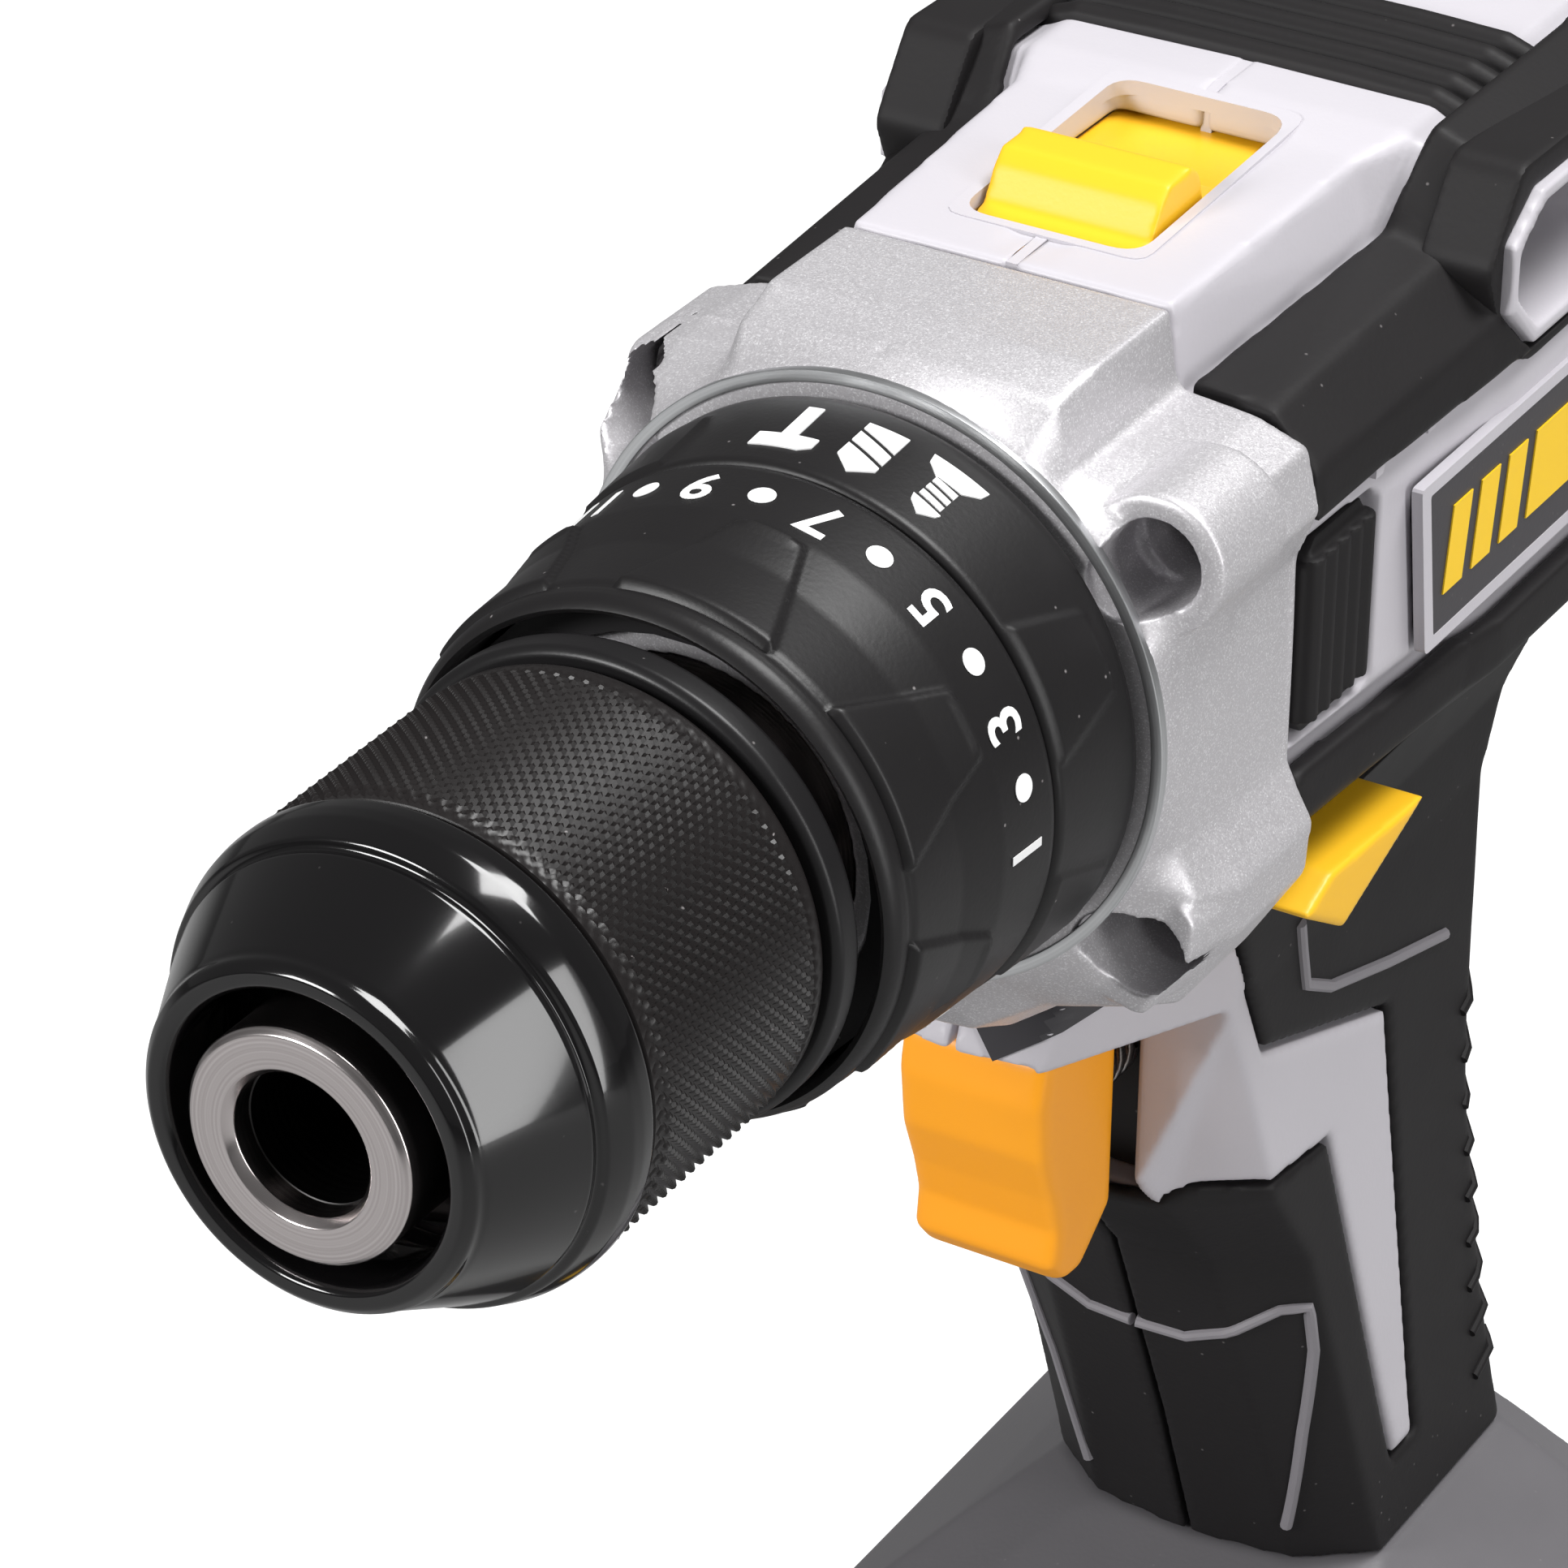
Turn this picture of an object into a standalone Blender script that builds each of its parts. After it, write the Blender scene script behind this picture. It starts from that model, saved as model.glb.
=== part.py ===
"""A cordless drill and driver with a ten millimetre keyless chuck, as its separate pieces.

World frame: the drill stands on its battery. +Z is up, the chuck points along -Y, and
+X is the side that carries the right-hand housing half. The origin is the centre of
the battery's flat base. Every piece hangs from the empty drill_line, which lies at the
tip of the chuck on the drill's axis, so a piece's own Y is its distance behind the tip.
"""

import math

import bmesh
import bpy
from mathutils import Vector

MM = 0.001

# Where the drill line lies, and the fits between pieces
AXIS_HEIGHT = 175.0 * MM
TIP_AHEAD_OF_BASE_CENTRE = 132.0 * MM
GAP = 0.3 * MM
SPLIT_GAP = 0.15 * MM
FACETS = 30
FINE_FACETS = 24

# Keyless chuck
CHUCK_BORE_R = 5.2 * MM
CHUCK_NOSE_R = 8.6 * MM
CHUCK_BODY_R = 14.4 * MM
CHUCK_LENGTH = 36.6 * MM
HOOD_MOUTH_R = 10.7 * MM
HOOD_RIM_R = 12.65 * MM
HOOD_GROOVE_R = 16.6 * MM
HOOD_BAND_R = 18.0 * MM
HOOD_FRONT = 0.9 * MM
HOOD_GROOVE_BACK = 9.7 * MM
HOOD_BACK = 14.4 * MM
SLEEVE_R = 17.9 * MM
REAR_RING_R = 18.4 * MM
REAR_RING_LENGTH = 3.0 * MM
JAW_TILT = math.radians(17.0)
JAW_R = 3.0 * MM
JAW_TIP_BACK = 13.0 * MM
JAW_END_BACK = 33.0 * MM
JAW_TRAVEL_IN = 4.5 * MM
NUT_FRONT = 13.5 * MM
NUT_LENGTH = 2.8 * MM
NUT_R = 13.0 * MM
SPINDLE_THREAD_R = 4.6 * MM

# Clutch rings
TORQUE_FRONT = 41.2 * MM
TORQUE_BACK = 60.8 * MM
TORQUE_LIP_R = 19.6 * MM
TORQUE_BACK_R = 21.8 * MM
MODE_BACK = 71.4 * MM
MODE_BACK_R = 22.8 * MM
RING_INNER_R = 18.7 * MM
SNOUT_R = 15.3 * MM
SPRING_WIRE_R = 0.75 * MM
SPRING_TURNS = 4

# Output shaft and its bearing
SPINDLE_R = 7.5 * MM
BEARING_R = 13.0 * MM
BEARING_FRONT = 48.0 * MM
BEARING_LENGTH = 7.0 * MM

# Planetary gears: teeth are counted, radii follow from the pitch of one tooth
OUTPUT_SUN, OUTPUT_PLANET, OUTPUT_RING = 15, 15, 45
INPUT_SUN, INPUT_PLANET, INPUT_RING = 12, 15, 42
OUTPUT_MODULE = 0.72 * MM
INPUT_MODULE = 0.762 * MM
TOOTH_HEIGHT = 0.8
RING_GEAR_R = 19.3 * MM
CARRIER_FRONT = 77.0 * MM
CARRIER_PLATE = 3.3 * MM
GEAR_LENGTH = 6.2 * MM
PIN_R = 2.0 * MM

# Aluminium gear housing
GEAR_HOUSING_FRONT = 71.9 * MM
GEAR_HOUSING_BACK = 91.3 * MM
GEAR_HOUSING_TOP = 25.0 * MM
FLANGE_R = 24.0 * MM
BOSS_X = 21.6 * MM
BOSS_UP = 14.4 * MM
BOSS_DOWN = 17.0 * MM
SCREW_HEAD_R = 2.9 * MM
SCREW_SHANK_R = 1.5 * MM
SCREW_HEAD_FRONT = 83.0 * MM
SCREW_HEAD_LENGTH = 2.6 * MM

# Motor and gear case
CASE_R = 20.9 * MM
CASE_WALL = 1.2 * MM
CASE_BACK = 112.0 * MM
MOTOR_R = 18.2 * MM
MOTOR_WALL = 1.3 * MM
MOTOR_FRONT = 114.0 * MM
MOTOR_BACK = 167.0 * MM
SHAFT_R = 1.6 * MM

# Speed slider in the saddle
SLIDER_HALF = 7.0 * MM
SLIDER_WINDOW_FRONT = 97.4 * MM
SLIDER_WINDOW_BACK = 121.6 * MM
SLIDER_TRAVEL = 8.0 * MM
SLIDER_PLATE_Z = 22.4 * MM
SLIDER_PLATE = 1.2 * MM
SLIDER_TOP = 28.6 * MM

# Housing
HOUSING_FRONT = 91.7 * MM
BARREL_BACK = 178.0 * MM
GRIP_FOOT_Z = -112.0 * MM
RUBBER = 1.7 * MM
TRIGGER_LIP_Z = -39.4 * MM
TRIGGER_HALF = 6.5 * MM
TRIGGER_FRONT = 89.4 * MM
TRIGGER_BACK = 101.5 * MM
TRIGGER_BOTTOM_Z = -62.5 * MM
TRIGGER_TRAVEL = 6.0 * MM
SWITCH_FRONT = 111.0 * MM
VENT_FACE = 27.0 * MM
VENT_RIM = 1.4 * MM
LEVER_HALF = 26.6 * MM
LEVER_END = 20.0 * MM
LEVER_TRAVEL = 2.0 * MM
LEVER_ROOM = 0.6 * MM

# Trim on the side of the housing
PAD_SEAT, PAD_FACE = 22.4 * MM, 25.4 * MM
PAD_FRONT, PAD_BACK = 92.1 * MM, 103.0 * MM
PAD_LOW, PAD_HIGH = -7.4 * MM, 8.4 * MM
NAME_FACE, NAME_THICK = 26.6 * MM, 1.6 * MM
REAR_BRIDGE_FRONT = 161.0 * MM
OUTSIDE = 40.0 * MM

# Foot and battery
FOOT_HALF = 31.0 * MM
FOOT_FRONT = 95.0 * MM
FOOT_BACK = 171.0 * MM
FOOT_DECK_Z = -127.0 * MM
RAIL_DROP = 7.0 * MM
RAIL_WALL = 3.2 * MM
RAIL_LIP = 3.2 * MM
BATTERY_HALF = 31.5 * MM
BATTERY_FRONT = 92.0 * MM
BATTERY_BACK = 172.0 * MM
BATTERY_WALL = 2.0 * MM
BATTERY_SPLIT_Z = -152.0 * MM
CELL_R = 9.0 * MM
CELL_LENGTH = 65.0 * MM
LATCH_TRAVEL = 2.5 * MM

for old in list(bpy.data.objects):
    bpy.data.objects.remove(old, do_unlink=True)

drill = bpy.data.collections.new("cordless_drill")
cutters = bpy.data.collections.new("cutters")
cutters.hide_render = True
for group in (drill, cutters):
    bpy.context.scene.collection.children.link(group)

drill_line = bpy.data.objects.new("drill_line", None)
drill_line.location = (0.0, -TIP_AHEAD_OF_BASE_CENTRE, AXIS_HEIGHT)
drill.objects.link(drill_line)

# ---------------------------------------------------------------- tools of the bench


def finish(name, colour, roughness, metallic=0.0):
    """A plain material for one kind of surface."""
    made = bpy.data.materials.new(name)
    made.use_nodes = True
    shader = made.node_tree.nodes["Principled BSDF"]
    shader.inputs["Base Color"].default_value = (*colour, 1.0)
    shader.inputs["Roughness"].default_value = roughness
    shader.inputs["Metallic"].default_value = metallic
    return made


STEEL = finish("ground_steel", (0.62, 0.58, 0.57), 0.25, 1.0)
DARK_STEEL = finish("dark_steel", (0.10, 0.10, 0.11), 0.4, 1.0)
BLACK_GLOSS = finish("gloss_black_plastic", (0.008, 0.008, 0.009), 0.12)
BLACK_MATT = finish("matt_black_plastic", (0.018, 0.017, 0.018), 0.5)
SILVER_CAST = finish("painted_alloy", (0.66, 0.64, 0.66), 0.35, 0.6)
GREY_SHELL = finish("pale_grey_plastic", (0.60, 0.57, 0.61), 0.5)
DARK_GREY = finish("dark_grey_plastic", (0.13, 0.125, 0.13), 0.5)
RUBBER_BLACK = finish("black_rubber", (0.016, 0.014, 0.015), 0.7)
YELLOW = finish("yellow_plastic", (1.0, 0.62, 0.02), 0.4)
ORANGE = finish("orange_plastic", (1.0, 0.36, 0.02), 0.4)
SINTERED = finish("sintered_steel", (0.25, 0.24, 0.23), 0.45, 1.0)
NYLON = finish("nylon", (0.75, 0.73, 0.68), 0.5)
COPPER = finish("copper_winding", (0.72, 0.30, 0.14), 0.35, 1.0)
CELL_WRAP = finish("cell_wrap", (0.02, 0.16, 0.30), 0.4)
BRASS = finish("brass", (0.80, 0.55, 0.22), 0.3, 1.0)


def place(name, mesh, surface, hidden=False):
    """An object on the drill line, in the model or among the cutters."""
    piece = bpy.data.objects.new(name, mesh)
    piece.parent = drill_line
    if hidden:
        cutters.objects.link(piece)
        piece.hide_render = True
        piece.display_type = "WIRE"
    else:
        drill.objects.link(piece)
        mesh.materials.append(surface)
    return piece


def turned(name, outline, surface=None, facets=FACETS):
    """A shape turned about the drill line from (radius, distance behind the tip) points."""
    area = sum(a[0] * b[1] - b[0] * a[1] for a, b in zip(outline, outline[1:] + outline[:1]))
    if area > 0:
        outline = outline[::-1]
    solid = outline[0][0] == 0 and outline[-1][0] == 0
    if not solid and any(point[0] == 0 for point in outline):
        first = next(i for i, point in enumerate(outline) if point[0] == 0)
        if outline[(first + 1) % len(outline)][0] == 0:
            first += 1
        outline = outline[first:] + outline[:first]
        solid = True
    mesh = bpy.data.meshes.new(name)
    count = len(outline)
    edges = [(i, i + 1) for i in range(count - 1)]
    if not solid:
        edges.append((count - 1, 0))
    mesh.from_pydata([(radius, 0.0, back) for radius, back in outline], edges, [])
    piece = place(name, mesh, surface, hidden=surface is None)
    piece.rotation_euler = (-math.pi / 2, 0.0, 0.0)
    screw = piece.modifiers.new("turn", "SCREW")
    screw.axis = "Z"
    screw.steps = facets
    screw.render_steps = facets
    screw.use_merge_vertices = True
    screw.merge_threshold = 1e-6
    screw.use_smooth_shade = True
    return piece


def plate(name, outlines, low, high, facing, surface=None):
    """A flat outline, or one with holes, given thickness from low to high.

    facing is the way that its flat faces look: "back" takes (x, z) points, "side"
    takes (y, z) points and "up" takes (x, y) points.
    """
    curve = bpy.data.curves.new(name, "CURVE")
    curve.dimensions = "2D"
    curve.fill_mode = "BOTH"
    curve.extrude = (high - low) / 2
    for outline in outlines:
        spline = curve.splines.new("POLY")
        spline.points.add(len(outline) - 1)
        for point, (across, up) in zip(spline.points, outline):
            point.co = (across, up, 0.0, 1.0)
        spline.use_cyclic_u = True
    drawn = bpy.data.objects.new(name + "_outline", curve)
    bpy.context.scene.collection.objects.link(drawn)
    graph = bpy.context.evaluated_depsgraph_get()
    mesh = bpy.data.meshes.new_from_object(drawn.evaluated_get(graph))
    bpy.data.objects.remove(drawn, do_unlink=True)
    weld(mesh)
    middle = (low + high) / 2
    piece = place(name, mesh, surface, hidden=surface is None)
    if facing == "back":
        piece.location = (0.0, middle, 0.0)
        piece.rotation_euler = (math.pi / 2, 0.0, 0.0)
    elif facing == "side":
        piece.location = (middle, 0.0, 0.0)
        piece.rotation_euler = (math.pi / 2, 0.0, math.pi / 2)
    else:
        piece.location = (0.0, 0.0, middle)
    return piece


def weld(mesh):
    form = bmesh.new()
    form.from_mesh(mesh)
    bmesh.ops.remove_doubles(form, verts=form.verts, dist=1e-6)
    bmesh.ops.recalc_face_normals(form, faces=form.faces)
    form.to_mesh(mesh)
    form.free()


LOFTED = "loft_"


def loft(name, rings, surface=None):
    """A skin over rings of equal point count, closed at both ends."""
    mesh = bpy.data.meshes.new(LOFTED + name)
    form = bmesh.new()
    rows = [[form.verts.new(point) for point in ring] for ring in rings]
    for row, after in zip(rows, rows[1:]):
        for i in range(len(row)):
            j = (i + 1) % len(row)
            form.faces.new((row[i], row[j], after[j], after[i]))
    form.faces.new(rows[0][::-1])
    form.faces.new(rows[-1])
    bmesh.ops.triangulate(form, faces=form.faces)
    bmesh.ops.recalc_face_normals(form, faces=form.faces)
    form.to_mesh(mesh)
    form.free()
    return place(name, mesh, surface, hidden=surface is None)


def block(name, corner, far_corner, surface=None, rounding=0.0):
    """A box between any two opposite corners, with rounded edges if asked."""
    low = tuple(min(pair) for pair in zip(corner, far_corner))
    high = tuple(max(pair) for pair in zip(corner, far_corner))
    mesh = bpy.data.meshes.new(name)
    form = bmesh.new()
    bmesh.ops.create_cube(form, size=1.0)
    size = Vector(high) - Vector(low)
    bmesh.ops.scale(form, vec=size, verts=form.verts)
    form.to_mesh(mesh)
    form.free()
    piece = place(name, mesh, surface, hidden=surface is None)
    piece.location = (Vector(low) + Vector(high)) / 2
    if rounding:
        bevel = piece.modifiers.new("round", "BEVEL")
        bevel.width = rounding
        bevel.segments = 2
    return piece


def rod(name, start, end, radius, surface=None, facets=16):
    """A round bar from start to end."""
    mesh = bpy.data.meshes.new(name)
    form = bmesh.new()
    way = Vector(end) - Vector(start)
    bmesh.ops.create_cone(
        form, cap_ends=True, segments=facets, radius1=radius, radius2=radius, depth=way.length
    )
    form.to_mesh(mesh)
    form.free()
    piece = place(name, mesh, surface, hidden=surface is None)
    piece.location = (Vector(start) + Vector(end)) / 2
    piece.rotation_euler = way.to_track_quat("Z", "Y").to_euler()
    return piece


def wire(name, points, radius, surface=None):
    """A bent round wire through the points, as a mesh."""
    curve = bpy.data.curves.new(name, "CURVE")
    curve.dimensions = "3D"
    curve.bevel_depth = radius
    curve.bevel_resolution = 1
    curve.use_fill_caps = True
    spline = curve.splines.new("POLY")
    spline.points.add(len(points) - 1)
    for point, at in zip(spline.points, points):
        point.co = (*at, 1.0)
    drawn = bpy.data.objects.new(name + "_path", curve)
    bpy.context.scene.collection.objects.link(drawn)
    graph = bpy.context.evaluated_depsgraph_get()
    mesh = bpy.data.meshes.new_from_object(drawn.evaluated_get(graph))
    bpy.data.objects.remove(drawn, do_unlink=True)
    weld(mesh)
    return place(name, mesh, surface, hidden=surface is None)


def joined(piece, other, way):
    step = piece.modifiers.new(way.lower() + "_" + other.name, "BOOLEAN")
    step.operation = way
    # The exact solver leaves gaps along the twisted sides of a loft.
    step.solver = "MANIFOLD" if piece.data.name.startswith(LOFTED) else "EXACT"
    step.object = other


def cut(piece, *tools):
    for tool in tools:
        joined(piece, tool, "DIFFERENCE")


def unite(piece, *others):
    for other in others:
        joined(piece, other, "UNION")


def keep_inside(piece, other):
    joined(piece, other, "INTERSECT")


def arc(centre, radius, start, end, steps):
    """Points on an arc; angles in degrees, anticlockwise from the first axis."""
    found = []
    for i in range(steps + 1):
        angle = math.radians(start + (end - start) * i / steps)
        found.append((centre[0] + radius * math.cos(angle), centre[1] + radius * math.sin(angle)))
    return found


def circle(centre, radius, facets=FINE_FACETS):
    return arc(centre, radius, 0.0, 360.0 * (facets - 1) / facets, facets - 1)


def offset_path(points, distance):
    """An open path moved sideways to its left, with mitred corners."""
    moved = []
    for i, point in enumerate(points):
        here = Vector(point)
        before = Vector(points[max(i - 1, 0)])
        after = Vector(points[min(i + 1, len(points) - 1)])
        sides = []
        for way in (here - before, after - here):
            if way.length > 0:
                way.normalize()
                sides.append(Vector((-way.y, way.x)))
        side = sum(sides, Vector((0.0, 0.0))).normalized()
        stretch = 1.0 / max(side.dot(sides[0]), 0.4)
        moved.append(tuple(here + side * distance * stretch))
    return moved


def about_axis(radius, angle):
    """The (x, z) place at an angle round the drill line, from +X towards +Z."""
    return (radius * math.cos(angle), radius * math.sin(angle))


# ---------------------------------------------------------------- gear teeth


def gear_outline(teeth, module, phase, centre=(0.0, 0.0), inward=False):
    """A toothed outline. phase is the angle of the middle of one tooth, in radians."""
    pitch_r = teeth * module / 2
    high = TOOTH_HEIGHT * module
    deep = (TOOTH_HEIGHT + 0.25) * module
    crest_r, root_r = (pitch_r - high, pitch_r + deep) if inward else (pitch_r + high, pitch_r - deep)
    step = 2 * math.pi / teeth
    crest, foot = (0.10, 0.33) if not inward else (0.09, 0.32)
    points = []
    for i in range(teeth):
        middle = phase + i * step
        for radius, turn in ((root_r, -foot), (crest_r, -crest), (crest_r, crest), (root_r, foot)):
            x, z = about_axis(radius, middle + turn * step)
            points.append((centre[0] + x, centre[1] + z))
    return points


def planet_phase(place_angle, sun_teeth, planet_teeth):
    """The tooth angle of a planet that meshes with a sun whose tooth is at angle 0."""
    return place_angle + math.pi - math.pi / planet_teeth + place_angle * sun_teeth / planet_teeth


def planet_centre(index, distance):
    angle = 2 * math.pi * index / 3
    return angle, about_axis(distance, angle)


# ---------------------------------------------------------------- keyless chuck


def jaw_axis_radius(back):
    return JAW_R * 1.8 + (back - JAW_TIP_BACK) * math.tan(JAW_TILT)


def jaw_line(name, index, radius, front, back, surface=None):
    """A round bar on the sloping line of one jaw."""
    angle = math.pi / 2 + 2 * math.pi * index / 3
    ends = []
    for at in (front, back):
        x, z = about_axis(jaw_axis_radius(at), angle)
        ends.append((x, at, z))
    return rod(name, ends[0], ends[1], radius, surface, facets=14)


def make_chuck():
    nut_back = NUT_FRONT + NUT_LENGTH
    groove_r = NUT_R - 3.8 * MM
    body = turned(
        "chuck_body",
        [
            (CHUCK_BORE_R + 0.5 * MM, 0.0),
            (CHUCK_NOSE_R - 0.4 * MM, 0.0),
            (CHUCK_NOSE_R, 0.4 * MM),
            (CHUCK_NOSE_R, 8.5 * MM),
            (11.4 * MM, 11.5 * MM),
            (11.4 * MM, NUT_FRONT - GAP),
            (groove_r, NUT_FRONT - GAP),
            (groove_r, nut_back + GAP),
            (CHUCK_BODY_R, nut_back + GAP),
            (CHUCK_BODY_R, CHUCK_LENGTH),
            (SPINDLE_THREAD_R + GAP, CHUCK_LENGTH),
            (SPINDLE_THREAD_R + GAP, 26.0 * MM),
            (CHUCK_BORE_R, 24.0 * MM),
            (CHUCK_BORE_R, 0.6 * MM),
        ],
        STEEL,
    )
    for index in range(3):
        cut(body, jaw_line(f"jaw_hole_{index + 1}", index, JAW_R + GAP, 0.5 * MM, 36.0 * MM))
        jaw = jaw_line(f"chuck_jaw_{index + 1}", index, JAW_R, 5.0 * MM, 40.0 * MM, DARK_STEEL)
        apex = CHUCK_BORE_R - 0.5 * MM
        grip = CHUCK_BORE_R - 0.2 * MM
        reach = 20.0 * MM
        turn = 2 * math.pi * index / 3
        corners = []
        for radius, half in (
            (grip, (grip - apex) * math.tan(math.radians(60))),
            (reach, (reach - apex) * math.tan(math.radians(60))),
        ):
            corners.append((radius, half))
        wedge = [
            (-corners[0][1], corners[0][0]),
            (corners[0][1], corners[0][0]),
            (corners[1][1], corners[1][0]),
            (-corners[1][1], corners[1][0]),
        ]
        wedge = [
            (x * math.cos(turn) - z * math.sin(turn), x * math.sin(turn) + z * math.cos(turn))
            for x, z in wedge
        ]
        tool = plate(f"jaw_wedge_{index + 1}", [wedge], JAW_TIP_BACK, JAW_END_BACK, "back")
        keep_inside(jaw, tool)

    turned(
        "jaw_nut",
        [
            (groove_r + GAP, NUT_FRONT),
            (NUT_R, NUT_FRONT),
            (NUT_R, nut_back),
            (groove_r + GAP, nut_back),
        ],
        DARK_STEEL,
        facets=30,
    )
    turned(
        "chuck_hood",
        [
            (HOOD_MOUTH_R, HOOD_FRONT + 0.5 * MM),
            (HOOD_MOUTH_R + 0.5 * MM, HOOD_FRONT),
            (HOOD_RIM_R - 0.7 * MM, HOOD_FRONT),
            (HOOD_RIM_R, HOOD_FRONT + 0.5 * MM),
            (HOOD_GROOVE_R, HOOD_GROOVE_BACK),
            (HOOD_BAND_R - 0.8 * MM, HOOD_GROOVE_BACK + 0.4 * MM),
            (HOOD_BAND_R, HOOD_GROOVE_BACK + 2.6 * MM),
            (HOOD_BAND_R, HOOD_BACK),
            (NUT_R + 1.2 * MM, HOOD_BACK),
            (NUT_R + 1.2 * MM, NUT_FRONT - 1.0 * MM),
            (HOOD_MOUTH_R + 1.2 * MM, 9.0 * MM),
            (HOOD_MOUTH_R, 5.0 * MM),
        ],
        BLACK_GLOSS,
    )
    sleeve_front = HOOD_BACK + GAP
    turned(
        "chuck_sleeve",
        [
            (NUT_R + 1.2 * MM, sleeve_front),
            (SLEEVE_R, sleeve_front),
            (SLEEVE_R, CHUCK_LENGTH - 0.5 * MM),
            (SLEEVE_R - 0.5 * MM, CHUCK_LENGTH),
            (CHUCK_BODY_R + GAP, CHUCK_LENGTH),
            (CHUCK_BODY_R + GAP, nut_back),
            (NUT_R + 1.2 * MM, nut_back),
        ],
        BLACK_MATT,
    )
    ring_front = CHUCK_LENGTH + GAP
    ring_back = ring_front + REAR_RING_LENGTH
    turned(
        "chuck_rear_ring",
        [
            (SPINDLE_R + 1.0 * MM, ring_front),
            (REAR_RING_R - 0.3 * MM, ring_front),
            (REAR_RING_R, ring_front + 0.3 * MM),
            (REAR_RING_R, ring_back - 0.4 * MM),
            (REAR_RING_R - 0.4 * MM, ring_back),
            (SPINDLE_R + 1.0 * MM, ring_back),
        ],
        BLACK_MATT,
    )
    head_back = 25.6 * MM
    screw = turned(
        "chuck_screw",
        [
            (0.0, 22.6 * MM),
            (3.1 * MM, 22.6 * MM),
            (3.1 * MM, head_back),
            (1.8 * MM, head_back),
            (1.8 * MM, 45.0 * MM),
            (0.0, 45.0 * MM),
        ],
        STEEL,
        facets=18,
    )
    socket = plate("socket", [circle((0, 0), 1.6 * MM, 6)], 21.0 * MM, 24.2 * MM, "back")
    cut(screw, socket)


# ---------------------------------------------------------------- output shaft and clutch


def make_output():
    plate_back = CARRIER_FRONT + CARRIER_PLATE
    distance = (OUTPUT_SUN + OUTPUT_PLANET) * OUTPUT_MODULE / 2
    spindle = turned(
        "output_spindle",
        [
            (2.1 * MM, 26.4 * MM),
            (SPINDLE_THREAD_R, 26.4 * MM),
            (SPINDLE_THREAD_R, CHUCK_LENGTH + GAP),
            (SPINDLE_R - 0.3 * MM, CHUCK_LENGTH + GAP),
            (SPINDLE_R, CHUCK_LENGTH + 1.0 * MM),
            (SPINDLE_R, CARRIER_FRONT),
            (16.0 * MM, CARRIER_FRONT),
            (16.0 * MM, plate_back),
            (0.0, plate_back),
            (0.0, 60.0 * MM),
            (2.1 * MM, 60.0 * MM),
        ],
        STEEL,
        facets=30,
    )
    for index in range(3):
        _, (x, z) = planet_centre(index, distance)
        pin_end = plate_back + GEAR_LENGTH
        unite(spindle, rod(f"output_pin_{index + 1}", (x, plate_back - MM, z), (x, pin_end, z), PIN_R, facets=12))

    bearing_back = BEARING_FRONT + BEARING_LENGTH
    turned(
        "front_bearing",
        [
            (SPINDLE_R + GAP, BEARING_FRONT),
            (SPINDLE_R + 1.6 * MM, BEARING_FRONT),
            (SPINDLE_R + 1.6 * MM, BEARING_FRONT + 0.6 * MM),
            (BEARING_R - 1.4 * MM, BEARING_FRONT + 0.6 * MM),
            (BEARING_R - 1.4 * MM, BEARING_FRONT),
            (BEARING_R, BEARING_FRONT),
            (BEARING_R, bearing_back),
            (SPINDLE_R + GAP, bearing_back),
        ],
        STEEL,
        facets=30,
    )
    ratchet("ratchet_turning", bearing_back + 0.8 * MM, bearing_back + 3.4 * MM, False)
    ratchet("ratchet_fixed", bearing_back + 7.4 * MM, bearing_back + 4.8 * MM, True)


def ratchet(name, flat, toothed, fixed):
    """One face ratchet of the hammer action: a ring whose far face is a ring of ramps."""
    inner, outer = SPINDLE_R + GAP, BEARING_R - 0.6 * MM
    teeth = 10
    rise = 0.9 * MM * (1 if toothed > flat else -1)
    rings = []
    for i in range(teeth * 2):
        angle = 2 * math.pi * i / (teeth * 2)
        top = toothed - (rise if i % 2 else 0.0)
        ring = []
        for radius, back in ((inner, flat), (outer, flat), (outer, top), (inner, top)):
            x, z = about_axis(radius, angle)
            ring.append((x, back, z))
        rings.append(ring)
    mesh = bpy.data.meshes.new(name)
    form = bmesh.new()
    rows = [[form.verts.new(point) for point in ring] for ring in rings]
    for row, after in zip(rows, rows[1:] + rows[:1]):
        for i in range(4):
            j = (i + 1) % 4
            form.faces.new((row[i], row[j], after[j], after[i]))
    bmesh.ops.recalc_face_normals(form, faces=form.faces)
    form.to_mesh(mesh)
    form.free()
    place(name, mesh, SINTERED)


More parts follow.
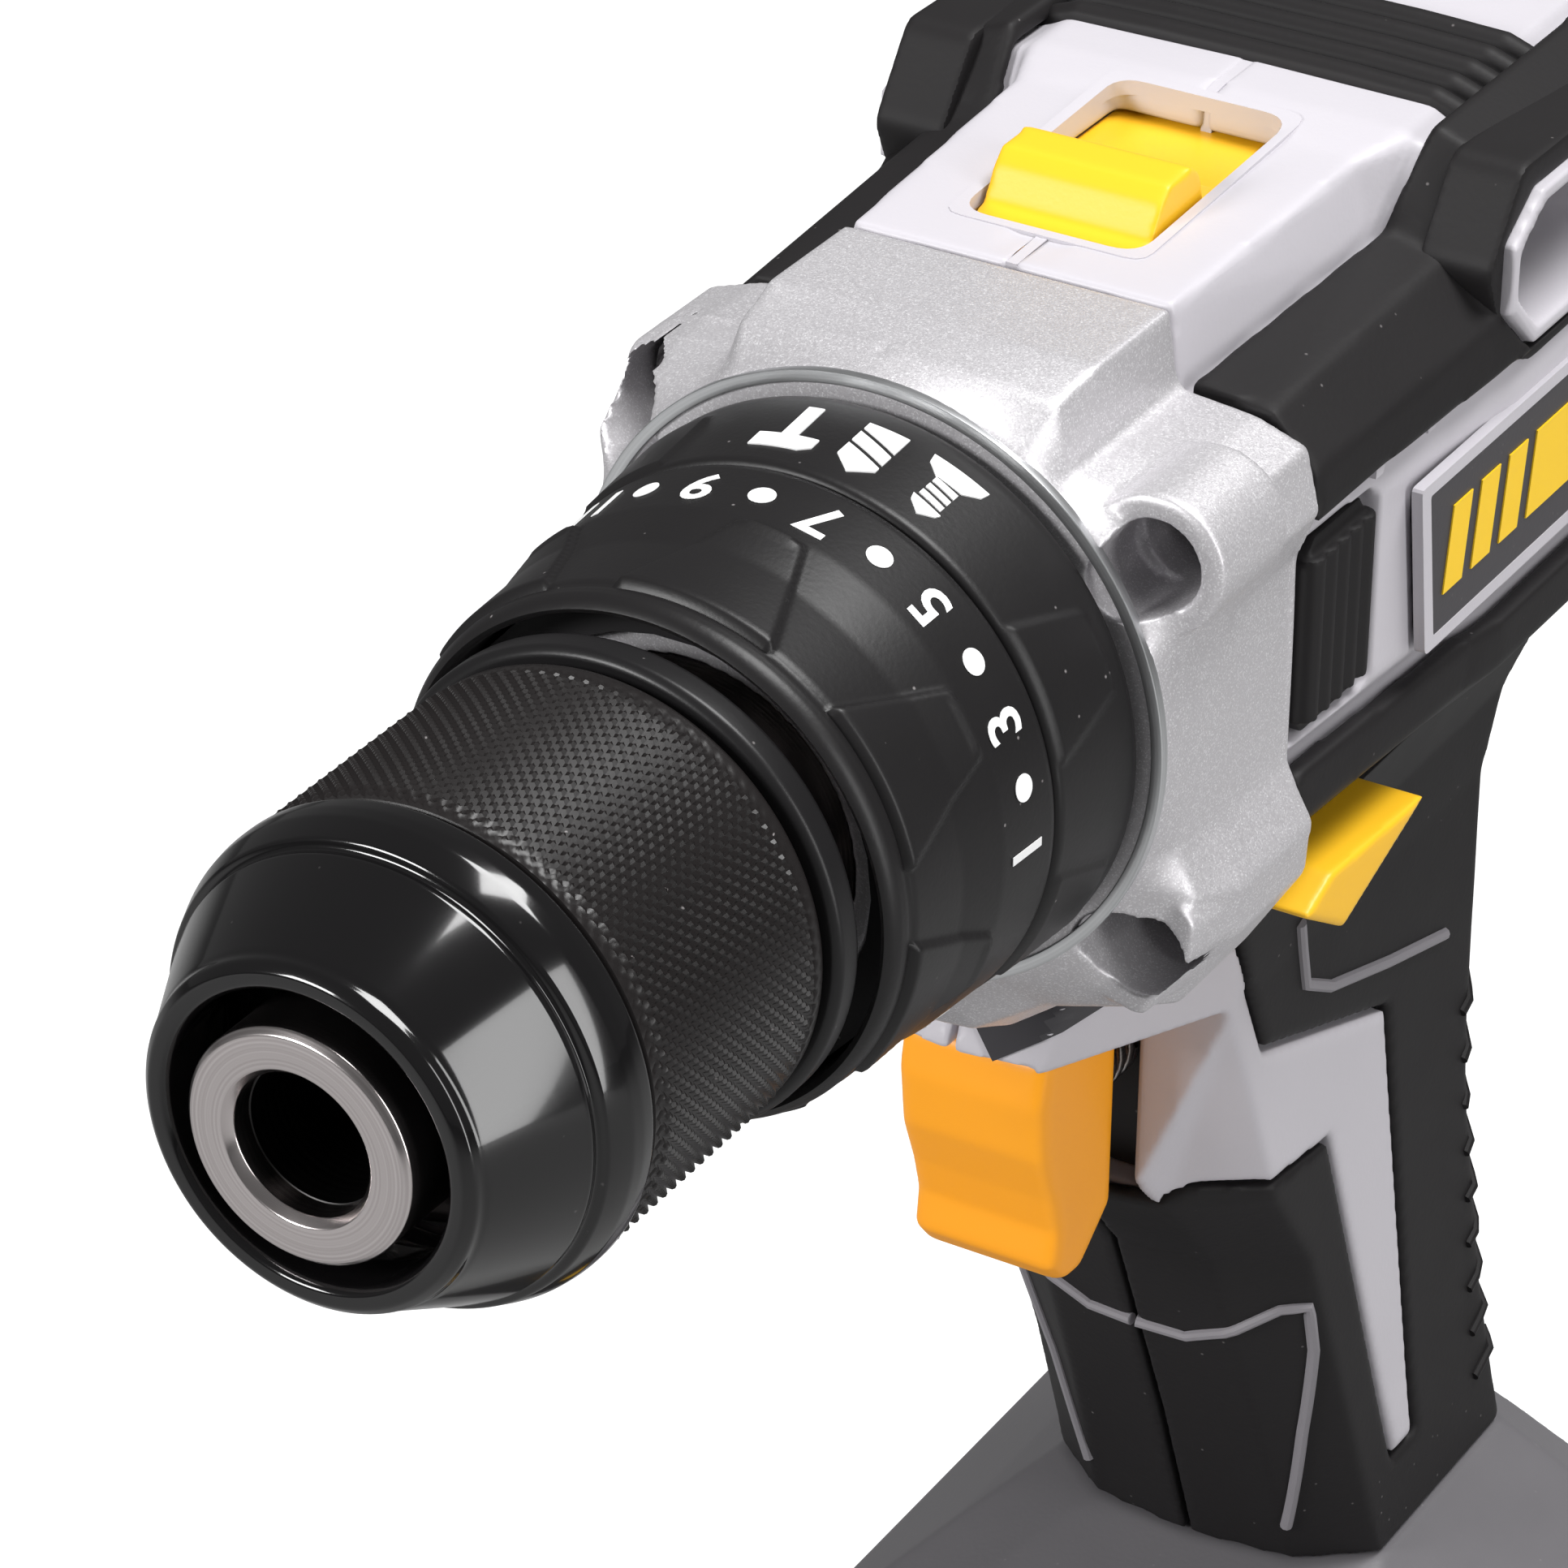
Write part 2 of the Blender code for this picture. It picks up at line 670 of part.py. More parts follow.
def make_clutch():
    spring_r = SNOUT_R + GAP + SPRING_WIRE_R + 0.3 * MM
    nut_front = TORQUE_FRONT + 4.6 * MM
    nut_back = nut_front + 2.4 * MM
    turned(
        "clutch_nut",
        [
            (SNOUT_R + GAP, nut_front),
            (RING_INNER_R - GAP, nut_front),
            (RING_INNER_R - GAP, nut_back),
            (SNOUT_R + GAP, nut_back),
        ],
        NYLON,
        facets=30,
    )
    start = nut_back + GAP + SPRING_WIRE_R + 2.2 * MM
    end = 64.0 * MM
    corners = 12
    steps = SPRING_TURNS * corners
    points = []
    for i in range(steps + 1):
        x, z = about_axis(spring_r, 2 * math.pi * i / corners)
        points.append((x, start + (end - start) * i / steps, z))
    wire("clutch_spring", points, SPRING_WIRE_R, STEEL)
    turned(
        "torque_ring",
        [
            (RING_INNER_R, TORQUE_FRONT + 0.8 * MM),
            (RING_INNER_R + 0.3 * MM, TORQUE_FRONT),
            (TORQUE_LIP_R - 0.3 * MM, TORQUE_FRONT),
            (TORQUE_LIP_R, TORQUE_FRONT + 0.5 * MM),
            (20.4 * MM, TORQUE_FRONT + 3.0 * MM),
            (20.9 * MM, 50.0 * MM),
            (21.5 * MM, 57.0 * MM),
            (TORQUE_BACK_R, TORQUE_BACK),
            (RING_INNER_R, TORQUE_BACK),
        ],
        BLACK_MATT,
    )
    mode_front = TORQUE_BACK + GAP
    turned(
        "mode_ring",
        [
            (RING_INNER_R, mode_front),
            (TORQUE_BACK_R, mode_front),
            (22.3 * MM, 66.0 * MM),
            (MODE_BACK_R, MODE_BACK - 0.6 * MM),
            (MODE_BACK_R - 0.4 * MM, MODE_BACK),
            (RING_INNER_R, MODE_BACK),
        ],
        BLACK_MATT,
    )


# ---------------------------------------------------------------- gear train


def make_gears():
    plate_back = CARRIER_FRONT + CARRIER_PLATE
    out_front, out_back = plate_back + GAP, plate_back + GAP + GEAR_LENGTH
    carrier_front = out_back + 1.2 * MM
    carrier_back = carrier_front + 2.6 * MM
    in_front, in_back = carrier_back + GAP, carrier_back + GAP + GEAR_LENGTH

    plate(
        "output_ring_gear",
        [
            circle((0, 0), RING_GEAR_R),
            gear_outline(OUTPUT_RING, OUTPUT_MODULE, math.pi / OUTPUT_RING, inward=True),
        ],
        out_front,
        out_back + 0.6 * MM,
        "back",
        SINTERED,
    )
    distance = (OUTPUT_SUN + OUTPUT_PLANET) * OUTPUT_MODULE / 2
    for index in range(3):
        angle, centre = planet_centre(index, distance)
        planet(
            f"output_planet_{index + 1}", centre, OUTPUT_PLANET, OUTPUT_MODULE,
            planet_phase(angle, OUTPUT_SUN, OUTPUT_PLANET), out_front, out_back,
        )

    carrier = turned(
        "planet_carrier",
        [
            (0.0, carrier_front),
            (14.2 * MM, carrier_front),
            (14.2 * MM, carrier_back),
            (0.0, carrier_back),
        ],
        SINTERED,
        facets=30,
    )
    sun = plate(
        "output_sun",
        [gear_outline(OUTPUT_SUN, OUTPUT_MODULE, 0.0)],
        out_front,
        carrier_front + MM,
        "back",
    )
    unite(carrier, sun)
    distance = (INPUT_SUN + INPUT_PLANET) * INPUT_MODULE / 2
    for index in range(3):
        angle, (x, z) = planet_centre(index, distance)
        pin_end = carrier_back + GEAR_LENGTH
        unite(carrier, rod(f"input_pin_{index + 1}", (x, carrier_back - MM, z), (x, pin_end, z), PIN_R, facets=12))
        planet(
            f"input_planet_{index + 1}", (x, z), INPUT_PLANET, INPUT_MODULE,
            planet_phase(angle, INPUT_SUN, INPUT_PLANET), in_front, in_back,
        )
    ring_front, ring_back = in_front - 0.4 * MM, in_back + 0.6 * MM
    moving_ring = plate(
        "shift_ring_gear",
        [
            circle((0, 0), RING_GEAR_R),
            gear_outline(INPUT_RING, INPUT_MODULE, math.pi / INPUT_RING, inward=True),
        ],
        ring_front,
        ring_back,
        "back",
        SINTERED,
    )
    groove_middle = (ring_front + ring_back) / 2
    groove = turned(
        "shift_groove",
        [
            (RING_GEAR_R - 1.1 * MM, groove_middle - 0.9 * MM),
            (RING_GEAR_R + MM, groove_middle - 0.9 * MM),
            (RING_GEAR_R + MM, groove_middle + 0.9 * MM),
            (RING_GEAR_R - 1.1 * MM, groove_middle + 0.9 * MM),
        ],
        facets=36,
    )
    cut(moving_ring, groove)
    wire_r = 0.5 * MM
    hoop_r = RING_GEAR_R - 1.1 * MM + GAP + wire_r
    hoop = []
    for i in range(15):
        x, z = about_axis(hoop_r, math.radians(20 + 10 * i))
        hoop.append((x, groove_middle, z))
    yoke = wire("shift_yoke", hoop, wire_r, STEEL)
    tab = block(
        "yoke_tab",
        (-2.0 * MM, groove_middle - wire_r, hoop_r - wire_r),
        (2.0 * MM, groove_middle + wire_r, SLIDER_PLATE_Z - GAP),
    )
    unite(yoke, tab)

    pinion_back = in_back + 0.8 * MM
    plate(
        "motor_pinion",
        [
            gear_outline(INPUT_SUN, INPUT_MODULE, 0.0),
            circle((0, 0), SHAFT_R + GAP, 12),
        ],
        in_front,
        pinion_back,
        "back",
        BRASS,
    )
    case_front = GEAR_HOUSING_BACK + 0.4 * MM
    case = turned(
        "gearbox_case",
        [
            (CASE_R - CASE_WALL, case_front),
            (CASE_R, case_front),
            (CASE_R, CASE_BACK),
            (6.4 * MM, CASE_BACK),
            (6.4 * MM, CASE_BACK - 2.4 * MM),
            (CASE_R - CASE_WALL, CASE_BACK - 2.4 * MM),
        ],
        NYLON,
    )
    slot = block(
        "yoke_slot",
        (-2.5 * MM, groove_middle - 1.2 * MM, 15.0 * MM),
        (2.5 * MM, groove_middle + SLIDER_TRAVEL + 1.2 * MM, 25.0 * MM),
    )
    cut(case, slot)
    return slot


def planet(name, centre, teeth, module, phase, front, back):
    plate(
        name,
        [
            gear_outline(teeth, module, phase, centre),
            circle(centre, PIN_R + GAP, 12),
        ],
        front,
        back,
        "back",
        SINTERED,
    )


# ---------------------------------------------------------------- motor


def make_motor():
    wall_r = MOTOR_R - MOTOR_WALL
    turned(
        "motor_can",
        [
            (6.0 * MM, MOTOR_FRONT),
            (MOTOR_R, MOTOR_FRONT),
            (MOTOR_R, MOTOR_BACK),
            (wall_r, MOTOR_BACK),
            (wall_r, MOTOR_FRONT + MOTOR_WALL),
            (6.0 * MM, MOTOR_FRONT + MOTOR_WALL),
        ],
        STEEL,
    )
    poles = []
    for i in range(5):
        middle = 72.0 * i + 90.0
        poles += arc((0, 0), 12.1 * MM, middle - 30.0, middle + 30.0, 4)
        poles += [about_axis(5.2 * MM, math.radians(middle + 36.0))]
    armature = plate("motor_armature", [poles], 126.0 * MM, 154.0 * MM, "back", COPPER)
    blades = []
    for i in range(9):
        middle = 40.0 * i
        blades += [about_axis(4.6 * MM, math.radians(middle - 6.0))]
        blades += arc((0, 0), 15.6 * MM, middle - 3.5, middle + 3.5, 1)
        blades += [about_axis(4.6 * MM, math.radians(middle + 6.0))]
    plate(
        "cooling_fan",
        [blades, circle((0, 0), SHAFT_R + GAP, 12)],
        158.0 * MM,
        163.0 * MM,
        "back",
        BLACK_MATT,
    )
    unite(armature, rod("motor_shaft", (0, 97.5 * MM, 0), (0, MOTOR_BACK + 3.0 * MM, 0), SHAFT_R, facets=12))
    turned(
        "motor_end_cap",
        [
            (SHAFT_R + GAP, MOTOR_BACK + GAP),
            (MOTOR_R, MOTOR_BACK + GAP),
            (MOTOR_R, MOTOR_BACK + 2.5 * MM),
            (9.0 * MM, MOTOR_BACK + 5.5 * MM),
            (SHAFT_R + GAP, MOTOR_BACK + 5.5 * MM),
        ],
        BLACK_MATT,
        facets=30,
    )


# ---------------------------------------------------------------- gear housing


def make_gear_housing():
    """The painted alloy block that carries the clutch, with four screw bosses."""
    top = GEAR_HOUSING_TOP
    half = [
        (0.0, top),
        (13.4 * MM, top),
        (14.3 * MM, 19.2 * MM),
        (20.6 * MM, 18.6 * MM),
        (24.8 * MM, 17.2 * MM),
        (26.0 * MM, 12.4 * MM),
        (24.2 * MM, 8.2 * MM),
        (24.3 * MM, -8.4 * MM),
        (26.8 * MM, -12.8 * MM),
        (26.4 * MM, -17.2 * MM),
        (21.8 * MM, -24.6 * MM),
        (14.0 * MM, -26.4 * MM),
        (8.0 * MM, -31.0 * MM),
        (0.0, -31.5 * MM),
    ]
    outline = half + [(-x, z) for x, z in half[-2:0:-1]]
    rings = []
    for back, reach in ((GEAR_HOUSING_FRONT, 0.0), (75.5 * MM, 0.72), (80.5 * MM, 1.0), (GEAR_HOUSING_BACK, 1.0)):
        ring = []
        for x, z in outline:
            far = math.hypot(x, z)
            keep = FLANGE_R / far
            share = keep + (1 - keep) * reach
            ring.append((x * share, back, z * share))
        rings.append(ring)
    housing = loft("gear_housing", rings, SILVER_CAST)
    snout = turned(
        "snout",
        [
            (0.0, BEARING_FRONT - 0.6 * MM),
            (SNOUT_R, BEARING_FRONT - 0.6 * MM),
            (SNOUT_R, 74.0 * MM),
            (0.0, 74.0 * MM),
        ],
        facets=FACETS,
    )
    unite(housing, snout)
    shaft_r = SPINDLE_R + 0.9 * MM
    bore = turned(
        "housing_bore",
        [
            (0.0, 40.0 * MM),
            (BEARING_R + GAP, 40.0 * MM),
            (BEARING_R + GAP, 63.4 * MM),
            (shaft_r, 63.4 * MM),
            (shaft_r, CARRIER_FRONT - 1.0 * MM),
            (RING_GEAR_R + GAP, CARRIER_FRONT - 1.0 * MM),
            (RING_GEAR_R + GAP, 100.0 * MM),
            (0.0, 100.0 * MM),
        ],
        facets=36,
    )
    cut(housing, bore)
    number = 0
    for z in (BOSS_UP, -BOSS_DOWN):
        for x in (-BOSS_X, BOSS_X):
            number += 1
            head_back = SCREW_HEAD_FRONT + SCREW_HEAD_LENGTH
            counterbore = rod(
                f"boss_bore_{number}", (x, 60.0 * MM, z), (x, head_back + GAP, z), SCREW_HEAD_R + 0.6 * MM
            )
            hole = rod(
                f"boss_hole_{number}", (x, 70.0 * MM, z), (x, 100.0 * MM, z), SCREW_SHANK_R + GAP, facets=12
            )
            cut(housing, counterbore, hole)
            screw = turned(
                f"gear_housing_screw_{number}",
                [
                    (0.0, 0.8 * MM),
                    (SCREW_HEAD_R * 0.45, 0.0),
                    (SCREW_HEAD_R, 0.0),
                    (SCREW_HEAD_R, SCREW_HEAD_LENGTH),
                    (SCREW_SHANK_R, SCREW_HEAD_LENGTH),
                    (SCREW_SHANK_R, GEAR_HOUSING_BACK - SCREW_HEAD_FRONT - GAP),
                    (0.0, GEAR_HOUSING_BACK - SCREW_HEAD_FRONT - GAP),
                ],
                DARK_STEEL,
                facets=14,
            )
            screw.location = (x, SCREW_HEAD_FRONT, z)
    return housing


# ---------------------------------------------------------------- housing halves

# The barrel's half outline at four stations, from the middle of the top down the side
# to the middle of the belly. The third to sixth points seat the flank strip of the
# rubber and the ninth to eleventh its lower strip.
BARREL = [
    (HOUSING_FRONT, [(0, 25.0), (13.2, 25.0), (14.1, 17.5), (20.4, 16.8), (23.3, 13.8), (23.6, 10.2),
                     (24.6, 8.0), (24.6, -7.4), (22.9, -9.6), (23.2, -13.6), (17.5, -20.6), (0, -22.8)]),
    (118.5 * MM, [(0, 26.2), (14.4, 26.2), (15.8, 19.4), (20.8, 18.4), (24.4, 14.6), (24.8, 10.4),
                  (25.6, 8.2), (25.6, -8.2), (24.0, -10.4), (24.0, -14.4), (18.2, -21.2), (0, -23.2)]),
    (124.0 * MM, [(0, 27.0), (15.6, 26.8), (16.6, 26.2), (21.4, 24.4), (24.8, 19.0), (25.2, 10.8),
                  (26.2, 8.4), (26.2, -8.4), (24.6, -10.6), (24.4, -14.8), (18.6, -21.4), (0, -23.6)]),
    (BARREL_BACK, [(0, 27.6), (15.6, 27.4), (16.8, 26.6), (21.6, 24.6), (25.0, 19.0), (25.4, 10.8),
                   (26.2, 8.4), (26.2, -8.4), (24.6, -10.8), (24.4, -15.0), (18.6, -21.6), (0, -24.0)]),
]
FLANK = slice(2, 6)
LOWER = slice(8, 11)

# The band of rubber behind the name plate that joins the two strips, seen from behind.
REAR_BRIDGE = [
    (26.0, 15.0), (27.9, 13.0), (28.3, 8.4), (28.3, -8.4), (26.9, -13.5), (25.4, -14.0),
    (25.3, -11.6), (26.6, -8.3), (26.6, 8.3), (25.9, 11.0),
]

# The grip at seven heights: front, front corner's half width, where the side starts,
# half width, where the side ends, rear corner's half width, rear.
GRIP = [
    (-14.0, 94.0, 13.0, 99.0, 20.0, 150.0, 13.0, 160.0),
    (-24.0, 92.2, 11.0, 100.0, 19.0, 150.0, 12.0, 161.0),
    (-32.0, 88.0, 8.2, 103.0, 16.0, 149.0, 11.0, 159.0),
    (TRIGGER_LIP_Z / MM, 85.2, 7.0, 103.0, 15.4, 147.0, 10.0, 156.0),
    (-62.5, 106.0, 8.0, 113.0, 15.2, 148.0, 9.5, 156.0),
    (-72.0, 114.0, 8.5, 120.0, 15.2, 149.0, 9.5, 156.5),
    (-95.0, 124.0, 9.0, 130.0, 15.2, 155.0, 9.5, 161.5),
    (GRIP_FOOT_Z / MM, 130.6, 9.5, 136.6, 15.6, 160.4, 9.5, 166.8),
]

# The pale zone of each side of the grip, seen from the side: neck, band and stripe.
PALE_ZONE = [
    (78.0, -10.0), (78.0, -64.5), (104.5, -64.5), (108.0, -59.5), (122.5, -61.5), (139.0, -103.0),
    (142.5, -103.0), (131.5, -54.5), (109.0, -46.5), (101.5, -31.0), (93.0, -25.0), (93.0, -10.0),
]


def in_metres(points):
    return [tuple(value * MM for value in point) for point in points]


def barrel_rings(side):
    rings = []
    for back, half in BARREL:
        ring = [(side * max(x, SPLIT_GAP), back, z) for x, z in in_metres(half)]
        rings.append(ring)
    return rings


def grip_half_outline(row, inset):
    height, front, front_half, side_front, half, side_back, back_half, back = row
    path = [
        (0.0, front), (front_half, front + 1.2), (half, side_front),
        (half, side_back), (back_half, back - 1.2), (0.0, back),
    ]
    path = offset_path(in_metres(path), inset)
    first, last = path[0], path[-1]
    path[0] = (0.0, first[1])
    path[-1] = (0.0, last[1])
    return path, height * MM


def grip_rings(side, inset, rows):
    rings = []
    for row in rows:
        path, height = grip_half_outline(row, inset)
        rings.append([(side * max(x, SPLIT_GAP), y, height) for x, y in path])
    return rings


def grown(outline, distance):
    """A closed outline moved outwards by a distance."""
    area = sum(a[0] * b[1] - b[0] * a[1] for a, b in zip(outline, outline[1:] + outline[:1]))
    way = -1 if area > 0 else 1
    moved = []
    count = len(outline)
    for i in range(count):
        near = [outline[i - 1], outline[i], outline[(i + 1) % count]]
        moved.append(offset_path(near, way * distance)[1])
    return moved


def make_housing(yoke_slot):
    pale = in_metres(PALE_ZONE)
    motor_room = turned(
        "motor_room",
        [
            (0.0, 80.0 * MM),
            (CASE_R + GAP, 80.0 * MM),
            (CASE_R + GAP, CASE_BACK + 0.8 * MM),
            (MOTOR_R + 0.4 * MM, CASE_BACK + 0.8 * MM),
            (MOTOR_R + 0.4 * MM, MOTOR_BACK + 7.0 * MM),
            (0.0, MOTOR_BACK + 7.0 * MM),
        ],
    )
    channel = block(
        "slider_channel",
        (-SLIDER_HALF - 1.5 * MM, HOUSING_FRONT - MM, SLIDER_PLATE_Z - GAP),
        (SLIDER_HALF + 1.5 * MM, 138.0 * MM, SLIDER_PLATE_Z + SLIDER_PLATE + GAP),
    )
    window = block(
        "slider_window",
        (-SLIDER_HALF - 0.4 * MM, SLIDER_WINDOW_FRONT, SLIDER_PLATE_Z),
        (SLIDER_HALF + 0.4 * MM, SLIDER_WINDOW_BACK, 40.0 * MM),
    )
    trigger_room = block(
        "trigger_room",
        (-TRIGGER_HALF - 0.6 * MM, 80.0 * MM, TRIGGER_BOTTOM_Z - 1.5 * MM),
        (TRIGGER_HALF + 0.6 * MM, TRIGGER_BACK + TRIGGER_TRAVEL + 0.8 * MM, TRIGGER_LIP_Z + 0.6 * MM),
    )
    under_lip = block(
        "under_lip",
        (-30.0 * MM, 78.0 * MM, TRIGGER_BOTTOM_Z - 0.5 * MM),
        (30.0 * MM, TRIGGER_BACK + 1.5 * MM, TRIGGER_LIP_Z),
    )
    switch_room = block(
        "switch_room",
        (-8.3 * MM, TRIGGER_BACK + 5.0 * MM, -62.3 * MM),
        (8.3 * MM, 137.3 * MM, -42.7 * MM),
    )
    lever_slot = block(
        "lever_slot",
        (-40.0 * MM, 95.6 * MM, -24.9 * MM),
        (40.0 * MM, 104.4 * MM, -21.8 * MM),
    )
    lever_recess = [lever_outline(LEVER_ROOM)]
    gear_seat = block(
        "gear_seat",
        (-OUTSIDE, 70.0 * MM, -31.9 * MM),
        (OUTSIDE, HOUSING_FRONT - 0.06 * MM, OUTSIDE),
    )
    for side, name in ((1, "right"), (-1, "left")):
        shell = loft(f"housing_{name}", barrel_rings(side), GREY_SHELL)
        grip_core = loft(f"grip_core_{name}", grip_rings(side, RUBBER + 2 * GAP, GRIP))
        grip_skin = loft(f"grip_skin_{name}", grip_rings(side, 0.0, GRIP))
        zone = plate(f"pale_zone_{name}", [pale], *sorted((side * 0.01 * MM, side * 40.0 * MM)), "side")
        keep_inside(grip_skin, zone)
        unite(shell, grip_core, grip_skin)
        reach = sorted((side * (LEVER_END - LEVER_TRAVEL - LEVER_ROOM), side * OUTSIDE))
        lever_room = plate(f"lever_recess_{name}", lever_recess, *reach, "side")
        cut(shell, motor_room, channel, window, yoke_slot, trigger_room, under_lip, switch_room)
        cut(shell, gear_seat, lever_slot, lever_room)
        reach = sorted((side * 19.0 * MM, side * VENT_FACE))
        unite(shell, plate(f"vent_frame_{name}", [vent_outline(0.0)], *reach, "side"))
        reach = sorted((side * 12.0 * MM, side * 40.0 * MM))
        cut(shell, plate(f"vent_{name}", [vent_outline(-VENT_RIM)], *reach, "side"))
        room = plate(f"vent_room_{name}", [vent_outline(GAP)], *reach, "side")
        make_rubber(side, name, pale, (room, lever_slot, lever_room, gear_seat))
        make_side_trim(side, name, shell)


def lever_outline(spare):
    return grown(in_metres([(111.6, -20.6), (95.6, -19.7), (91.4, -21.5), (98.0, -25.6)]), spare)


def vent_outline(spare):
    corners = [
        (120.0, 21.6), (124.6, 24.6), (146.0, 24.6), (150.4, 18.0), (146.0, 11.8), (124.6, 11.8), (120.0, 16.0),
    ]
    return grown(in_metres(corners), spare)


def skin_rings(side, stations, part, seat, thickness, ends):
    """Rings of a rubber strip that lies on a run of the barrel's outline."""
    rings = []
    for back, half in stations:
        run = in_metres(half)[part]
        first, last = Vector(run[0]), Vector(run[-1])
        run[0] = tuple(first + (Vector(run[1]) - first).normalized() * ends)
        run[-1] = tuple(last + (Vector(run[-2]) - last).normalized() * ends)
        inner = offset_path(run, seat)
        outer = offset_path(run, seat + thickness)
        rings.append([(side * x, back, z) for x, z in inner + outer[::-1]])
    return rings


def make_rubber(side, name, pale, rooms):
    start = [(BARREL[0][0] + 0.3 * MM, BARREL[0][1])]
    stations = start + BARREL[1:]
    flank = skin_rings(side, stations, FLANK, GAP, RUBBER, 0.6 * MM)
    strip = loft(f"flank_rubber_{name}", flank, RUBBER_BLACK)
    lower = loft(f"lower_strip_{name}", skin_rings(side, stations, LOWER, GAP, RUBBER, 0.6 * MM))
    across = [(side * x, z) for x, z in in_metres(REAR_BRIDGE)]
    bridge = plate(f"rear_bridge_{name}", [across], REAR_BRIDGE_FRONT, BARREL_BACK - MM, "back")
    unite(strip, lower, bridge)
    cut(strip, *rooms)
    skin = loft(f"grip_rubber_{name}", grip_rings(side, 0.0, GRIP[1:]), RUBBER_BLACK)
    core = loft(f"rubber_core_{name}", grip_rings(side, RUBBER, GRIP))
    zone = plate(
        f"pale_room_{name}", [grown(pale, 2 * GAP)], *sorted((side * 0.0, side * 40.0 * MM)), "side"
    )
    cut(skin, core, zone, *rooms[1:])


def make_side_trim(side, name, shell):
    """The ribbed finger pad behind the gear housing and the blank name plate."""
    front, back, low, high = PAD_FRONT, PAD_BACK, PAD_LOW, PAD_HIGH
    block(f"finger_pad_{name}", (side * PAD_SEAT, front, low), (side * PAD_FACE, back, high), RUBBER_BLACK)
    room = block(
        f"pad_room_{name}",
        (side * (PAD_SEAT - GAP), front - 2 * MM, low - GAP),
        (side * OUTSIDE, back + GAP, high + GAP),
    )
    cut(shell, room)
    outline = in_metres([(108.5, 6.0), (158.0, 6.0), (158.0, -6.6), (110.5, -6.6)])
    seat = NAME_FACE - NAME_THICK
    depth = sorted((side * seat, side * NAME_FACE))
    plate(f"name_plate_{name}", [outline], *depth, "side", DARK_GREY)
    depth = sorted((side * (seat - GAP), side * OUTSIDE))
    cut(shell, plate(f"name_room_{name}", [grown(outline, GAP)], *depth, "side"))


# ---------------------------------------------------------------- controls


def make_controls():
    slider = block(
        "speed_slider",
        (-SLIDER_HALF - 1.0 * MM, 93.0 * MM, SLIDER_PLATE_Z),
        (SLIDER_HALF + 1.0 * MM, 128.5 * MM, SLIDER_PLATE_Z + SLIDER_PLATE),
        YELLOW,
    )
    outline = [
        (97.9, 22.8), (97.9, 24.4), (100.2, 24.8), (101.8, 27.4), (103.0, 28.4),
        (106.4, 28.6), (107.8, 27.6), (108.4, 25.0), (112.6, 24.2), (113.4, 22.8),
    ]
    bump = plate("slider_bump", [in_metres(outline)], -SLIDER_HALF, SLIDER_HALF, "side")
    unite(slider, bump)

    front = in_metres(
        [
            (TRIGGER_BACK / MM, -39.8), (89.6, -39.8), (88.8, -44.0), (89.4, -49.0), (91.2, -53.5), (92.2, -57.0),
            (91.8, -60.2), (93.6, -62.3), (97.0, -62.5), (TRIGGER_BACK / MM, -59.0),
        ]
    )
    trigger = plate("trigger", [front], -TRIGGER_HALF, TRIGGER_HALF, "side", ORANGE)
    trigger_bevel = trigger.modifiers.new("round", "BEVEL")
    trigger_bevel.width = 1.0 * MM
    trigger_bevel.segments = 2
    trigger_bevel.angle_limit = math.radians(60)
    stem = rod(
        "trigger_stem",
        (0, TRIGGER_BACK - MM, -50.0 * MM),
        (0, SWITCH_FRONT + 1.5 * MM, -50.0 * MM),
        2.0 * MM,
        facets=12,
    )
    unite(trigger, stem)
    turns, corners = 4, 8
    points = []
    start, end = TRIGGER_BACK + 1.2 * MM, SWITCH_FRONT - 1.2 * MM
    for i in range(turns * corners + 1):
        x, z = about_axis(3.4 * MM, 2 * math.pi * i / corners)
        points.append((x, start + (end - start) * i / (turns * corners), z - 50.0 * MM))
    wire("trigger_spring", points, 0.4 * MM, STEEL)
    switch = block(
        "switch_body", (-8.0 * MM, SWITCH_FRONT, -62.0 * MM), (8.0 * MM, 137.0 * MM, -43.0 * MM), DARK_GREY
    )
    room_back = SWITCH_FRONT + TRIGGER_TRAVEL + 2.5 * MM
    stem_room = rod("stem_room", (0, 100.0 * MM, -50.0 * MM), (0, room_back, -50.0 * MM), 2.4 * MM, facets=12)
    cut(switch, stem_room)

    lever = block(
        "direction_lever", (-20.5 * MM, 96.0 * MM, -24.5 * MM), (20.5 * MM, 104.0 * MM, -22.2 * MM), YELLOW
    )
    for side, name in ((1, "right"), (-1, "left")):
        reach = sorted((side * LEVER_END, side * LEVER_HALF))
        unite(lever, plate(f"lever_end_{name}", [lever_outline(0.0)], *reach, "side"))


# ---------------------------------------------------------------- foot and battery


